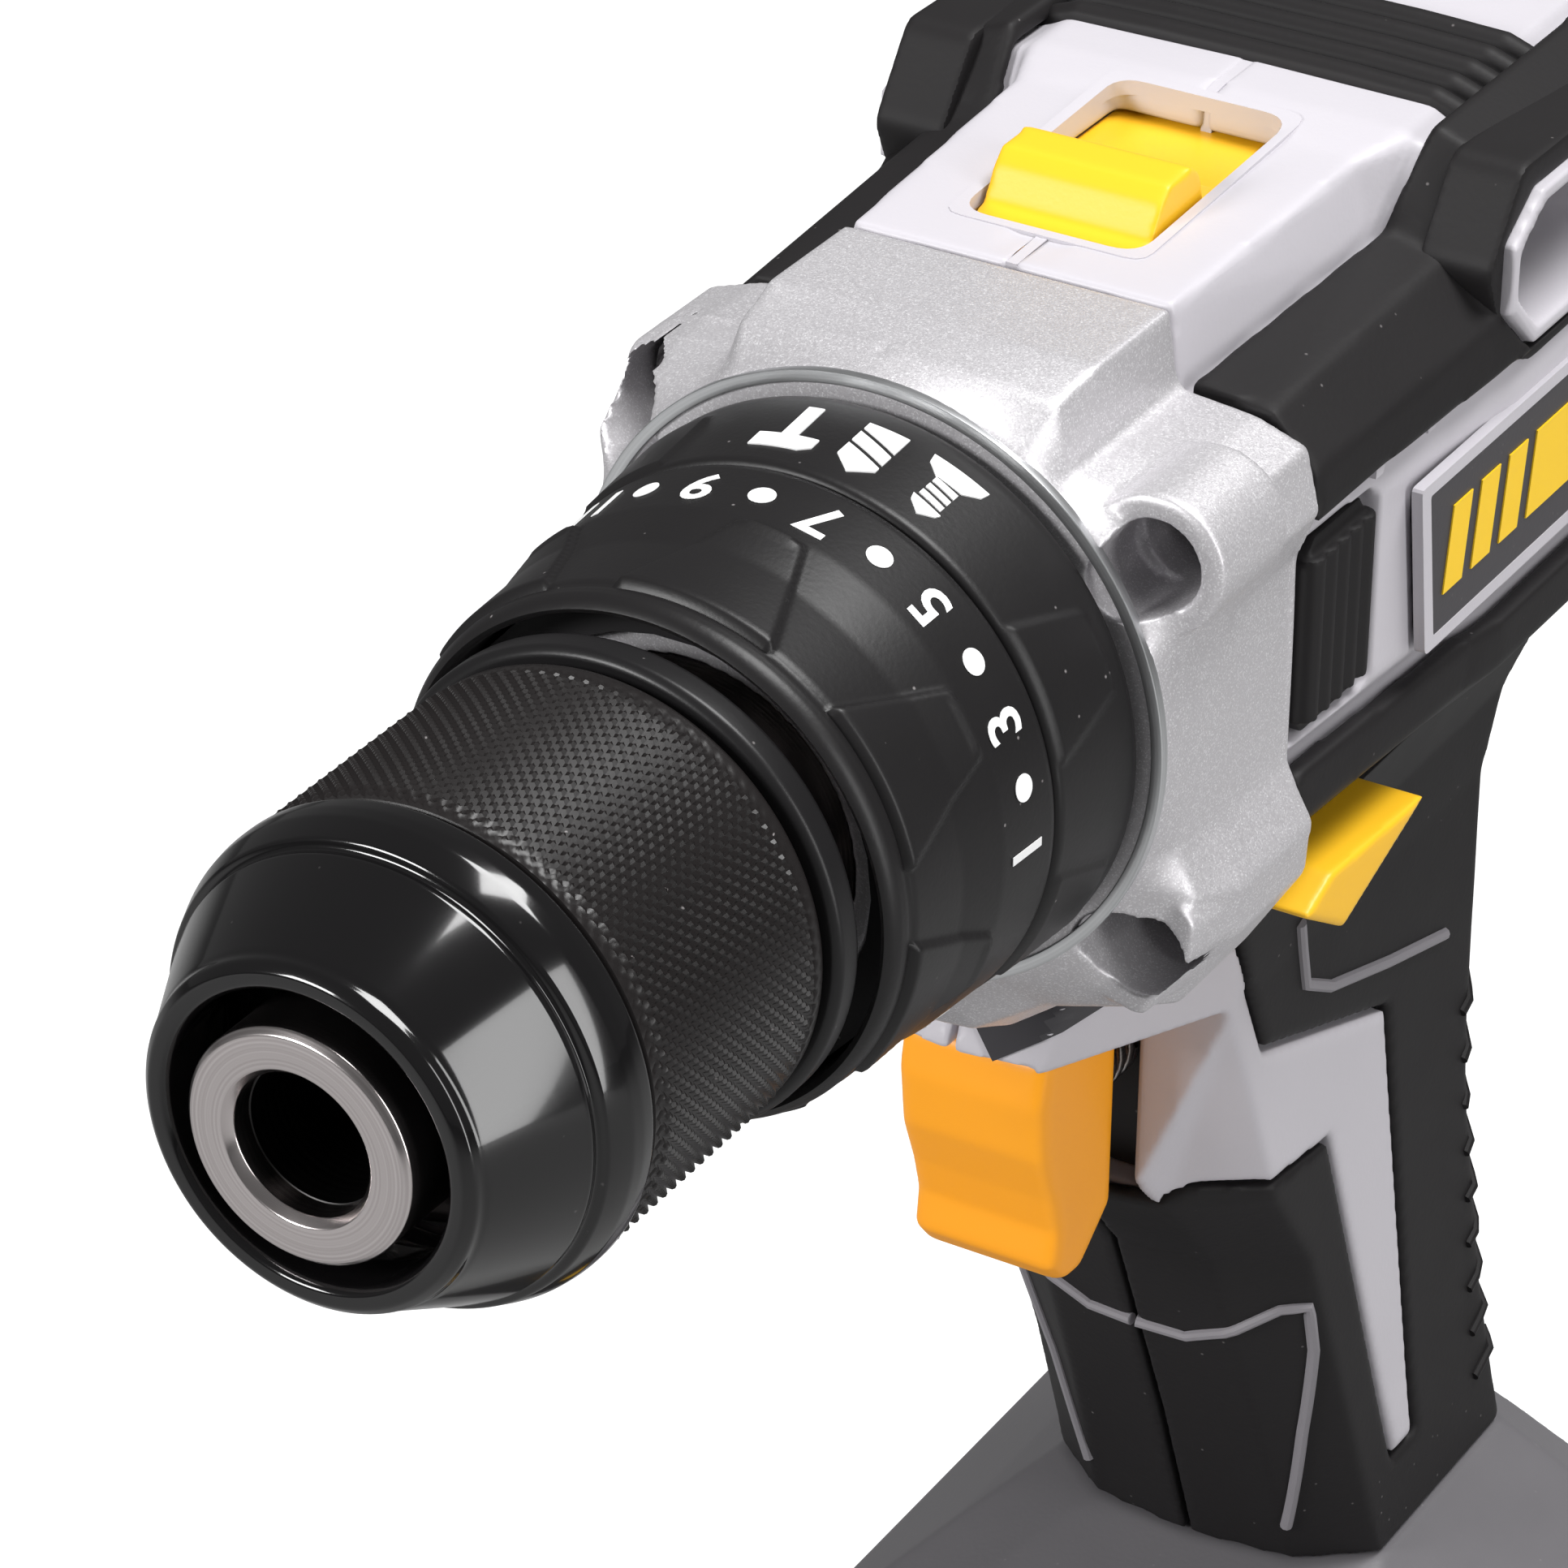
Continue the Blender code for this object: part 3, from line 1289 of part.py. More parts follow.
def make_foot():
    upper, _ = grip_half_outline(GRIP[-1], -0.1 * MM)
    lower = [
        (0.0, FOOT_FRONT), (FOOT_HALF - 6.0 * MM, FOOT_FRONT), (FOOT_HALF, FOOT_FRONT + 8.0 * MM),
        (FOOT_HALF, FOOT_BACK - 6.0 * MM), (FOOT_HALF - 5.0 * MM, FOOT_BACK), (0.0, FOOT_BACK),
    ]
    rings = []
    levels = (
        (0.0, GRIP_FOOT_Z - GAP), (0.30, -115.5 * MM), (0.85, -122.0 * MM),
        (1.0, FOOT_DECK_Z), (1.0, FOOT_DECK_Z - RAIL_DROP),
    )
    for share, height in levels:
        half = [(a[0] + (b[0] - a[0]) * share, a[1] + (b[1] - a[1]) * share) for a, b in zip(upper, lower)]
        whole = half + [(-x, y) for x, y in half[-2:0:-1]]
        rings.append([(x, y, height) for x, y in whole])
    foot = loft("battery_foot", rings, DARK_GREY)
    inner = FOOT_HALF - RAIL_WALL
    mouth = inner - RAIL_LIP
    lip_top = FOOT_DECK_Z - RAIL_DROP + 2.6 * MM
    back_wall = FOOT_BACK - RAIL_WALL
    cut(
        foot,
        block("rail_room", (-inner, 80.0 * MM, lip_top), (inner, back_wall, FOOT_DECK_Z)),
        block("rail_mouth", (-mouth, 80.0 * MM, -160.0 * MM), (mouth, back_wall, FOOT_DECK_Z - 2.0 * MM)),
        block("foot_hollow", (-10.6 * MM, 127.0 * MM, FOOT_DECK_Z - 2.0 * MM), (10.6 * MM, 153.0 * MM, -117.0 * MM)),
    )
    holder = block(
        "terminal_block",
        (-10.0 * MM, 128.0 * MM, -126.6 * MM),
        (10.0 * MM, 152.0 * MM, -117.6 * MM),
        BLACK_MATT,
    )
    for index in (-1, 0, 1):
        x = index * 6.5 * MM
        blade = block(
            f"terminal_blade_{index + 2}", (x - 0.4 * MM, 132.0 * MM, -131.0 * MM), (x + 0.4 * MM, 146.0 * MM, -126.0 * MM)
        )
        unite(holder, blade)
    return inner, mouth, lip_top, back_wall


def make_battery(inner, mouth, lip_top, back_wall):
    base = -AXIS_HEIGHT
    shoulder = FOOT_DECK_Z - RAIL_DROP - 0.4 * MM
    corners = []
    r = 6.0 * MM
    for cx, cy, start in (
        (BATTERY_HALF - r, BATTERY_BACK - r, 0.0), (-BATTERY_HALF + r, BATTERY_BACK - r, 90.0),
        (-BATTERY_HALF + r, BATTERY_FRONT + r, 180.0), (BATTERY_HALF - r, BATTERY_FRONT + r, 270.0),
    ):
        corners += arc((cx, cy), r, start, start + 90.0, 3)
    hollow = grown(corners, -BATTERY_WALL)
    case = plate("battery_case", [corners], base, BATTERY_SPLIT_Z, "up", DARK_GREY)
    case_bevel = case.modifiers.new("round", "BEVEL")
    case_bevel.width = 1.2 * MM
    case_bevel.segments = 2
    case_bevel.limit_method = "ANGLE"
    case_bevel.angle_limit = math.radians(60)
    room = plate("cell_room", [hollow], base + BATTERY_WALL, shoulder - 2.4 * MM, "up")
    cut(case, room)
    lid = plate("battery_lid", [corners], BATTERY_SPLIT_Z + GAP, shoulder, "up", DARK_GREY)
    neck = block(
        "battery_neck",
        (-mouth + GAP * 1.5, FOOT_FRONT + MM, shoulder - MM),
        (mouth - GAP * 1.5, back_wall - 0.5 * MM, lip_top + MM),
    )
    flange = block(
        "battery_flange",
        (-inner + GAP * 1.5, FOOT_FRONT + MM, lip_top + GAP * 1.5),
        (inner - GAP * 1.5, back_wall - 0.5 * MM, FOOT_DECK_Z - GAP * 1.5),
    )
    unite(lid, neck, flange)
    cut(lid, room)
    for index in (-1, 0, 1):
        x = index * 6.5 * MM
        slot = block(
            f"terminal_slot_{index + 2}", (x - 0.9 * MM, 130.0 * MM, -131.6 * MM), (x + 0.9 * MM, 180.0 * MM, -126.0 * MM)
        )
        cut(lid, slot)
    floor = base + BATTERY_WALL + GAP
    low = floor + CELL_R
    spacing = 2 * CELL_R + 0.4 * MM
    high = low + spacing * math.sin(math.radians(60)) + 0.2 * MM
    middle = (BATTERY_FRONT + BATTERY_BACK) / 2
    cells = [(-spacing, low), (0.0, low), (spacing, low), (-spacing / 2, high), (spacing / 2, high)]
    front = middle - CELL_LENGTH / 2 + 2.0 * MM
    pack = None
    for number, (x, z) in enumerate(cells, 1):
        cell = rod(
            "battery_cells" if pack is None else f"battery_cell_{number}",
            (x, front, z), (x, front + CELL_LENGTH, z), CELL_R,
            CELL_WRAP if pack is None else None, facets=18,
        )
        if pack is None:
            pack = cell
        else:
            unite(pack, cell)
    for index, ((x, z), (other_x, other_z)) in enumerate(zip(cells[:3] + cells[3:4], cells[1:3] + cells[3:])):
        strip = block(
            f"cell_strip_{index + 1}",
            (min(x, other_x), front - 0.2 * MM, min(z, other_z) - 2.5 * MM),
            (max(x, other_x), front + 0.6 * MM, max(z, other_z) + 2.5 * MM),
        )
        unite(pack, strip)
    button = (9.0 * MM, 4.5 * MM)
    button_z = -143.5 * MM
    room = block(
        "latch_room",
        (-button[0] - 0.4 * MM, 85.0 * MM, button_z - button[1] - 0.4 * MM),
        (button[0] + 0.4 * MM, BATTERY_FRONT + 5.0 * MM, button_z + button[1] + 0.4 * MM),
    )
    cut(lid, room)
    block(
        "battery_latch",
        (-button[0], BATTERY_FRONT - 1.0 * MM, button_z - button[1]),
        (button[0], BATTERY_FRONT + 2.0 * MM, button_z + button[1]),
        YELLOW,
        rounding=0.6 * MM,
    )


def make_rear_cap():
    half = in_metres(BARREL[-1][1])
    whole = half + [(-x, z) for x, z in half[-2:0:-1]]
    rings = []
    for back, share in ((BARREL_BACK + GAP, 1.0), (BARREL_BACK + 5.5 * MM, 0.96), (BARREL_BACK + 8.0 * MM, 0.84)):
        rings.append([(x * share, back, z * share) for x, z in whole])
    loft("rear_cap", rings, BLACK_MATT)


make_chuck()
make_output()
make_clutch()
yoke_slot = make_gears()
make_motor()
make_gear_housing()
make_housing(yoke_slot)
make_controls()
make_battery(*make_foot())
make_rear_cap()
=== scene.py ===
import math

import bmesh
import bpy
from mathutils import Matrix, Vector
from mathutils.bvhtree import BVHTree


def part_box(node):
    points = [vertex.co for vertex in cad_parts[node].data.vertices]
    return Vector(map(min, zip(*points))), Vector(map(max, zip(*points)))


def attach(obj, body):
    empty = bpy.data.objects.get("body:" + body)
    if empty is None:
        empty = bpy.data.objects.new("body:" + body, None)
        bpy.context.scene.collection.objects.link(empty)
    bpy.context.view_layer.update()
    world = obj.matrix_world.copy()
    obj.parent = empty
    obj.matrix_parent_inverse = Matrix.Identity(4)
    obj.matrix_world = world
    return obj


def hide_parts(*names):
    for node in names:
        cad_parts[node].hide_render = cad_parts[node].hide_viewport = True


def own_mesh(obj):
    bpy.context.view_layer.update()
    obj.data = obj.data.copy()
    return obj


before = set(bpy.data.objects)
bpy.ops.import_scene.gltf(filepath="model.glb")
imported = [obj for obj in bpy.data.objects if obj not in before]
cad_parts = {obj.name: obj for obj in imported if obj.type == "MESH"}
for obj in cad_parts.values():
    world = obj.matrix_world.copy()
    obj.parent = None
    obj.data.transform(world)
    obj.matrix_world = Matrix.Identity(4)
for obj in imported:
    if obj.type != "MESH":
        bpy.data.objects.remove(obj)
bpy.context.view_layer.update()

# ---- Chuck body -------------------------------------------------------------------
# The steel core of the keyless chuck, turned from bar, with three sloping holes bored
# for the jaws. The lathe tool leaves fine rings on its flat nose.

MM = 0.001
body_low, body_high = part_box("chuck_body")
AXIS_HEIGHT = (body_low.z + body_high.z) / 2
TIP = Vector((0.0, body_low.y, AXIS_HEIGHT))
TO_WORLD = Matrix.Translation(TIP) @ Matrix.Scale(MM, 4)
STEEL_PINK = (0.69, 0.645, 0.64)


class Wiring:
    """Places nodes in one tree and joins their sockets by name."""

    def __init__(self, tree):
        self.tree = tree

    def put(self, kind, links=None, **settings):
        node = self.tree.nodes.new(kind)
        for key, value in settings.items():
            if key.startswith("in_"):
                node.inputs[key[3:].replace("_", " ")].default_value = value
            else:
                setattr(node, key, value)
        for socket, source in (links or {}).items():
            self.tree.links.new(source, node.inputs[socket])
        return node

    def sum_of(self, operation, first, second=None, third=None):
        node = self.tree.nodes.new("ShaderNodeMath")
        node.operation = operation
        for place, value in enumerate((first, second, third)):
            if value is None:
                continue
            if isinstance(value, (int, float)):
                node.inputs[place].default_value = value
            else:
                self.tree.links.new(value, node.inputs[place])
        return node.outputs[0]

    def blend(self, share, first, second):
        node = self.tree.nodes.new("ShaderNodeMix")
        node.data_type = "RGBA"
        for place, value in ((0, share), (6, first), (7, second)):
            if isinstance(value, (int, float)):
                node.inputs[place].default_value = value
            elif isinstance(value, tuple):
                node.inputs[place].default_value = (*value[:3], 1.0)
            else:
                self.tree.links.new(value, node.inputs[place])
        return node.outputs[2]


def effect(name, inputs, outputs):
    """A shader group with named sockets; returns it with its wiring and its two ends."""
    group = bpy.data.node_groups.new(name, "ShaderNodeTree")
    for label, kind, value in inputs:
        socket = group.interface.new_socket(label, in_out="INPUT", socket_type=kind)
        socket.default_value = value
    for label, kind in outputs:
        group.interface.new_socket(label, in_out="OUTPUT", socket_type=kind)
    wiring = Wiring(group)
    return group, wiring, wiring.put("NodeGroupInput").outputs, wiring.put("NodeGroupOutput").inputs


def lathe_lines():
    """Rings left by a turning tool round the drill line, and a drift in shine."""
    colour, number = "NodeSocketColor", "NodeSocketFloat"
    group, w, given, out = effect(
        "lathe_lines",
        [("Metal", colour, (0.6, 0.6, 0.6, 1.0)), ("Shade", colour, (0.4, 0.4, 0.4, 1.0)),
         ("Pitch", number, 0.0003), ("Shine", number, 0.2)],
        [("Color", colour), ("Roughness", number), ("Height", number)],
    )
    place = w.put("ShaderNodeTexCoord").outputs["Object"]
    parts = w.put("ShaderNodeSeparateXYZ", {0: place}).outputs
    up = w.sum_of("SUBTRACT", parts["Z"], AXIS_HEIGHT)
    square = w.sum_of("ADD", w.sum_of("MULTIPLY", parts["X"], parts["X"]), w.sum_of("MULTIPLY", up, up))
    radius = w.sum_of("POWER", square, 0.5)
    travel = w.sum_of("ADD", radius, w.sum_of("MULTIPLY", parts["Y"], 0.7))
    turns = w.sum_of("DIVIDE", travel, given["Pitch"])
    wander = w.put("ShaderNodeTexNoise", {"W": turns}, noise_dimensions="1D", in_Scale=0.37, in_Detail=3.0)
    groove = w.sum_of("SINE", w.sum_of("MULTIPLY", w.sum_of("ADD", turns, wander.outputs[0]), 2 * math.pi))
    fine = w.put("ShaderNodeTexNoise", {"W": turns}, noise_dimensions="1D", in_Scale=1.9, in_Detail=2.0)
    streak = w.sum_of("MULTIPLY_ADD", groove, 0.18, fine.outputs[0])
    cloud = w.put("ShaderNodeTexNoise", {"Vector": place}, in_Scale=220.0, in_Detail=4.0)
    w.tree.links.new(w.blend(streak, given["Shade"], given["Metal"]), out["Color"])
    w.tree.links.new(w.sum_of("MULTIPLY_ADD", cloud.outputs[0], 0.12, given["Shine"]), out["Roughness"])
    w.tree.links.new(w.sum_of("MULTIPLY_ADD", groove, 0.3, fine.outputs[0]), out["Height"])
    return group


LATHE_LINES = lathe_lines()


def coated(name, group, values, metallic=0.0, bump=0.0, coat=0.0):
    """A surface whose colour, shine and relief come from one effect."""
    made = bpy.data.materials.new(name)
    made.use_nodes = True
    w = Wiring(made.node_tree)
    shader = made.node_tree.nodes["Principled BSDF"]
    source = w.put("ShaderNodeGroup", node_tree=group)
    for label, value in values.items():
        source.inputs[label].default_value = (*value, 1.0) if isinstance(value, tuple) else value
    link = made.node_tree.links.new
    link(source.outputs["Color"], shader.inputs["Base Color"])
    link(source.outputs["Roughness"], shader.inputs["Roughness"])
    shader.inputs["Metallic"].default_value = metallic
    if coat:
        shader.inputs["Coat Weight"].default_value = coat
        shader.inputs["Coat Roughness"].default_value = 0.06
    if bump:
        height = source.outputs["Height"]
        relief = w.put("ShaderNodeBump", {"Height": height}, in_Strength=1.0, in_Distance=bump)
        link(relief.outputs["Normal"], shader.inputs["Normal"])
    return made


def turned_metal(name, metal, shade, pitch, shine):
    values = {"Metal": metal, "Shade": shade, "Pitch": pitch * MM, "Shine": shine}
    return coated(name, LATHE_LINES, values, metallic=1.0, bump=0.004 * MM)


def smoothed(mesh, crease=32):
    mesh.shade_smooth()
    mesh.set_sharp_from_angle(angle=math.radians(crease))


def fit(name, mesh, body, slot, surface, *nodes, crease=32):
    """Puts a mesh drawn in millimetres from the chuck's tip on the drill."""
    mesh.transform(TO_WORLD)
    mesh.materials.clear()
    mesh.materials.append(surface)
    smoothed(mesh, crease)
    piece = bpy.data.objects.new(name, mesh)
    bpy.context.scene.collection.objects.link(piece)
    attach(piece, body)
    if nodes:
        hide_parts(*nodes)
    return piece


def mesh_of(form):
    mesh = bpy.data.meshes.new("part")
    bmesh.ops.recalc_face_normals(form, faces=form.faces)
    form.to_mesh(mesh)
    form.free()
    return mesh


def eased(corners, radius, steps=3):
    """A closed outline with its corners rounded."""
    points = []
    for i, corner in enumerate(corners):
        here, before, after = Vector(corner), Vector(corners[i - 1]), Vector(corners[(i + 1) % len(corners)])
        back, on = before - here, after - here
        start = here + back.normalized() * min(radius, back.length * 0.45)
        end = here + on.normalized() * min(radius, on.length * 0.45)
        for k in range(steps + 1):
            t = k / steps
            points.append(tuple(start * (1 - t) ** 2 + here * 2 * t * (1 - t) + end * t * t))
    return points


def lathe(outline, facets=96):
    """A closed (radius, distance back) outline turned about the drill line."""
    form = bmesh.new()
    rows = []
    for i in range(facets):
        angle = 2 * math.pi * i / facets
        rows.append([form.verts.new((r * math.cos(angle), y, r * math.sin(angle))) for r, y in outline])
    for row, after in zip(rows, rows[1:] + rows[:1]):
        for i in range(len(outline)):
            j = (i + 1) % len(outline)
            form.faces.new((row[i], row[j], after[j], after[i]))
    bmesh.ops.remove_doubles(form, verts=form.verts, dist=1e-5)
    return mesh_of(form)


def rod(start, end, radius, facets=32):
    form = bmesh.new()
    way = Vector(end) - Vector(start)
    bmesh.ops.create_cone(
        form, cap_ends=True, segments=facets, radius1=radius, radius2=radius, depth=way.length)
    turn = way.to_track_quat("Z", "Y").to_matrix().to_4x4()
    form.transform(Matrix.Translation((Vector(start) + Vector(end)) / 2) @ turn)
    return mesh_of(form)


def carved(mesh, tools, way="DIFFERENCE", solver="EXACT"):
    """The mesh after a Boolean with each tool in turn."""
    piece = bpy.data.objects.new("carved", mesh)
    bpy.context.scene.collection.objects.link(piece)
    helpers = []
    for tool in tools:
        helper = bpy.data.objects.new("tool", tool)
        bpy.context.scene.collection.objects.link(helper)
        step = piece.modifiers.new("step", "BOOLEAN")
        step.operation = way
        step.solver = solver
        step.object = helper
        helpers.append(helper)
    result = bpy.data.meshes.new_from_object(piece.evaluated_get(bpy.context.evaluated_depsgraph_get()))
    for spent in (piece, *helpers):
        bpy.data.objects.remove(spent, do_unlink=True)
    return result


NOSE_STEEL = turned_metal("nose_steel", STEEL_PINK, (0.45, 0.41, 0.405), 0.34, 0.16)
JAW_TILT = math.radians(17.0)


def jaw_axis(back, index):
    radius = 5.4 + (back - 13.0) * math.tan(JAW_TILT)
    angle = math.pi / 2 + 2 * math.pi * index / 3
    return radius * math.cos(angle), back, radius * math.sin(angle)


chuck_outline = eased(
    [(5.2, 0.7), (5.75, 0.0), (8.15, 0.0), (8.6, 0.45), (8.6, 8.5), (11.4, 11.5), (11.4, 13.2), (9.2, 13.2),
     (9.2, 16.6), (14.4, 16.6), (14.4, 36.5), (4.95, 36.5), (4.95, 26.0), (5.2, 24.0)],
    0.12,
)
jaw_holes = [rod(jaw_axis(0.5, i), jaw_axis(35.9, i), 3.3) for i in range(3)]
core = carved(lathe(chuck_outline, 120), jaw_holes)
fit("chuck_core", core, "spindle", "ground_steel", NOSE_STEEL, "chuck_body")

# ---- Jaws, jaw nut and screw --------------------------------------------------------
# Three hardened jaws slide in the sloping holes; a split nut under the sleeve drives
# them by a thread. A left-hand screw at the bottom of the bore holds the chuck on.

OILED_STEEL = turned_metal("oiled_steel", (0.30, 0.29, 0.29), (0.10, 0.10, 0.10), 0.5, 0.22)
SCREW_STEEL = turned_metal("screw_steel", (0.80, 0.78, 0.77), (0.5, 0.48, 0.47), 0.4, 0.2)


def softened(node, surface, edge=0.15, crease=32):
    """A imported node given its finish, a small broken edge and smooth curves."""
    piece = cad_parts[node]
    piece.data.materials.clear()
    piece.data.materials.append(surface)
    smoothed(piece.data, crease)
    if edge:
        bevel = piece.modifiers.new("edge", "BEVEL")
        bevel.width = edge * MM
        bevel.segments = 2
        bevel.limit_method = "ANGLE"
        bevel.angle_limit = math.radians(crease + 8)
        bevel.harden_normals = True
    return piece


for jaw in ("chuck_jaw_1", "chuck_jaw_2", "chuck_jaw_3"):
    softened(jaw, OILED_STEEL, 0.12)
softened("jaw_nut", OILED_STEEL, 0.2)
softened("chuck_screw", SCREW_STEEL, 0.1)

# A near-black sleeve lines the bore behind its mouth, so that the jaws stand out: its colour is painted shade
# for the dark inside of the bore.
BORE_PAINTED_SHADE = turned_metal("bore_painted_shade", (0.06, 0.058, 0.058), (0.02, 0.02, 0.02), 0.5, 0.3)
shade_lining_outline = [(5.5, 2.2), (5.12, 2.4), (5.12, 21.6), (5.5, 21.8)]
shade_lining = carved(lathe(shade_lining_outline), [hole.copy() for hole in jaw_holes])
fit("bore_shade_lining", shade_lining, "spindle", "dark_steel", BORE_PAINTED_SHADE)

# ---- Front hood ---------------------------------------------------------------------
# A moulded nose in polished black plastic, pressed over the front of the sleeve: a
# rolled lip, a cone, a fine groove and a plain band.


def moulded_skin():
    """Moulded plastic or rubber: spark-eroded grain, cloudy shade and stray dust."""
    colour, number = "NodeSocketColor", "NodeSocketFloat"
    group, w, given, out = effect(
        "moulded_skin",
        [("Tone", colour, (0.02, 0.02, 0.02, 1.0)), ("Cloud", colour, (0.03, 0.03, 0.03, 1.0)),
         ("Grain", number, 3500.0), ("Shine", number, 0.4), ("Spread", number, 0.15), ("Dust", number, 0.5)],
        [("Color", colour), ("Roughness", number), ("Height", number)],
    )
    place = w.put("ShaderNodeTexCoord").outputs["Object"]
    grain = w.put("ShaderNodeTexNoise", {"Vector": place, "Scale": given["Grain"]}, in_Detail=2.0)
    cloud = w.put("ShaderNodeTexNoise", {"Vector": place}, in_Scale=60.0, in_Detail=5.0, in_Roughness=0.6)
    specks = w.put("ShaderNodeTexVoronoi", {"Vector": place}, in_Scale=900.0)
    near = w.put("ShaderNodeMapRange", {"Value": specks.outputs["Distance"]})
    near.inputs["From Min"].default_value = 0.05
    near.inputs["From Max"].default_value = 0.14
    near.inputs["To Min"].default_value = 1.0
    near.inputs["To Max"].default_value = 0.0
    lot = w.put("ShaderNodeSeparateColor", {0: specks.outputs["Color"]}).outputs[0]
    rare = w.sum_of("GREATER_THAN", lot, 0.93)
    speck = w.sum_of("MULTIPLY", w.sum_of("MULTIPLY", near.outputs[0], rare), given["Dust"])
    tone = w.blend(cloud.outputs[0], given["Tone"], given["Cloud"])
    w.tree.links.new(w.blend(speck, tone, (0.45, 0.42, 0.42)), out["Color"])
    uneven = w.sum_of("SUBTRACT", cloud.outputs[0], 0.5)
    shine = w.sum_of("MULTIPLY_ADD", uneven, given["Spread"], given["Shine"])
    w.tree.links.new(w.sum_of("MULTIPLY_ADD", speck, 0.4, shine), out["Roughness"])
    w.tree.links.new(w.sum_of("MULTIPLY_ADD", speck, 0.5, grain.outputs[0]), out["Height"])
    return group


MOULDED_SKIN = moulded_skin()


def moulding(name, tone, shine, grain=2600.0, relief=0.012, spread=0.15, dust=0.25, cloud=1.25, **more):
    """A moulded finish; relief is the depth of its grain in millimetres."""
    values = {
        "Tone": tone, "Cloud": tuple(min(c * cloud, 1.0) for c in tone), "Grain": grain,
        "Shine": shine, "Spread": spread, "Dust": dust,
    }
    return coated(name, MOULDED_SKIN, values, bump=relief * MM, **more)


POLISHED_BLACK = moulding(
    "polished_black", (0.0045, 0.0042, 0.0045), 0.13, 900.0, 0.0015, 0.06, 0.12, coat=0.5)
hood_outline = eased(
    [(10.7, 5.0), (10.7, 1.5), (11.1, 0.95), (12.1, 0.9), (12.75, 1.5), (12.85, 2.1), (13.1, 2.5),
     (16.45, 9.35), (16.35, 9.75), (16.5, 10.0), (17.1, 10.15), (17.85, 12.0), (18.0, 13.0), (18.0, 14.1),
     (17.75, 14.4), (14.2, 14.4), (14.2, 12.5), (11.9, 9.0)],
    0.22,
)
fit("hood_shell", lathe(hood_outline, 160), "sleeve", "gloss_black", POLISHED_BLACK, "chuck_hood", crease=50)

# ---- Knurled sleeve -----------------------------------------------------------------
# The gripping sleeve, a black plastic tube with a diamond knurl cut right round it and
# a plain bevel at each end.

KNURL_BLACK = moulding("knurled_black", (0.011, 0.0095, 0.0095), 0.34, 3000.0, 0.006, 0.12, 0.7)
KNURL_ROUND = 96
KNURL_ROWS = 17
KNURL_FRONT, KNURL_BACK = 15.3, 35.2
KNURL_DEPTH = 0.42


def knurled_tube():
    form = bmesh.new()
    around = KNURL_ROUND * 4
    along = KNURL_ROWS * 4
    crest = 17.9
    inside = 14.75

    def ring(radius_at, back):
        row = []
        for i in range(around):
            angle = 2 * math.pi * i / around
            radius = radius_at(i)
            row.append(form.verts.new((radius * math.cos(angle), back, radius * math.sin(angle))))
        return row

    def saw(value):
        return 1.0 - abs(2.0 * (value % 1.0) - 1.0)

    lead_in = ((inside, 14.8), (crest - 0.55, 14.8), (crest - 0.3, 15.0))
    tail = ((17.62, 35.4), (17.62, 35.9), (17.45, 36.25), (17.05, 36.55), (inside, 36.55), (inside, 16.4))
    rows = [ring(lambda i, radius=radius: radius, back) for radius, back in lead_in]
    for k in range(along + 1):
        back = KNURL_FRONT + (KNURL_BACK - KNURL_FRONT) * k / along

        def radius_at(i, k=k):
            first, second = (i + k) / 4.0, (i - k) / 4.0
            fade = min(1.0, k / 4.0, (along - k) / 4.0)
            height = min(saw(first), saw(second)) * 1.6
            return crest - KNURL_DEPTH + KNURL_DEPTH * min(height, 1.0) * (0.45 + 0.55 * fade)

        rows.append(ring(radius_at, back))
    rows += [ring(lambda i, radius=radius: radius, back) for radius, back in tail]
    for row, after in zip(rows, rows[1:] + rows[:1]):
        for i in range(around):
            j = (i + 1) % around
            form.faces.new((row[i], after[i], after[j], row[j]))
    return mesh_of(form)


fit("knurled_sleeve", knurled_tube(), "sleeve", "knurled_black", KNURL_BLACK, "chuck_sleeve", crease=40)

# ---- Rear ring of the chuck ---------------------------------------------------------
# A plain ring pinned to the chuck body. It stands still in the hand while the sleeve
# is turned to open the jaws.

SATIN_BLACK = moulding("satin_black", (0.0085, 0.008, 0.0085), 0.36, 3000.0, 0.006, 0.12, 0.35)
ring_outline = eased([(8.5, 36.9), (17.9, 36.9), (18.4, 37.4), (18.4, 39.3), (17.9, 39.9), (8.5, 39.9)], 0.25)
fit("chuck_back_ring", lathe(ring_outline, 144), "spindle", "matt_black", SATIN_BLACK, "chuck_rear_ring")

# ---- Torque ring --------------------------------------------------------------------
# The clutch setting ring, moulded in matt black with seven raised pads for the fingers.
# Its white figures are printed round the back edge, a dot between each two.

MATT_BLACK = moulding("matt_black", (0.0095, 0.0088, 0.0092), 0.40, 2400.0, 0.012, 0.14, 0.45)
PRINT_WHITE = moulding("print_white", (0.86, 0.86, 0.86), 0.45, 2600.0, 0.004, 0.1, 0.0, 1.02)
DIVISIONS = 28
STEP = 360.0 / DIVISIONS
PADS = 7


def eased_step(value, edge, width):
    t = min(1.0, max(0.0, (edge - value) / width + 0.5))
    return t * t * (3 - 2 * t)


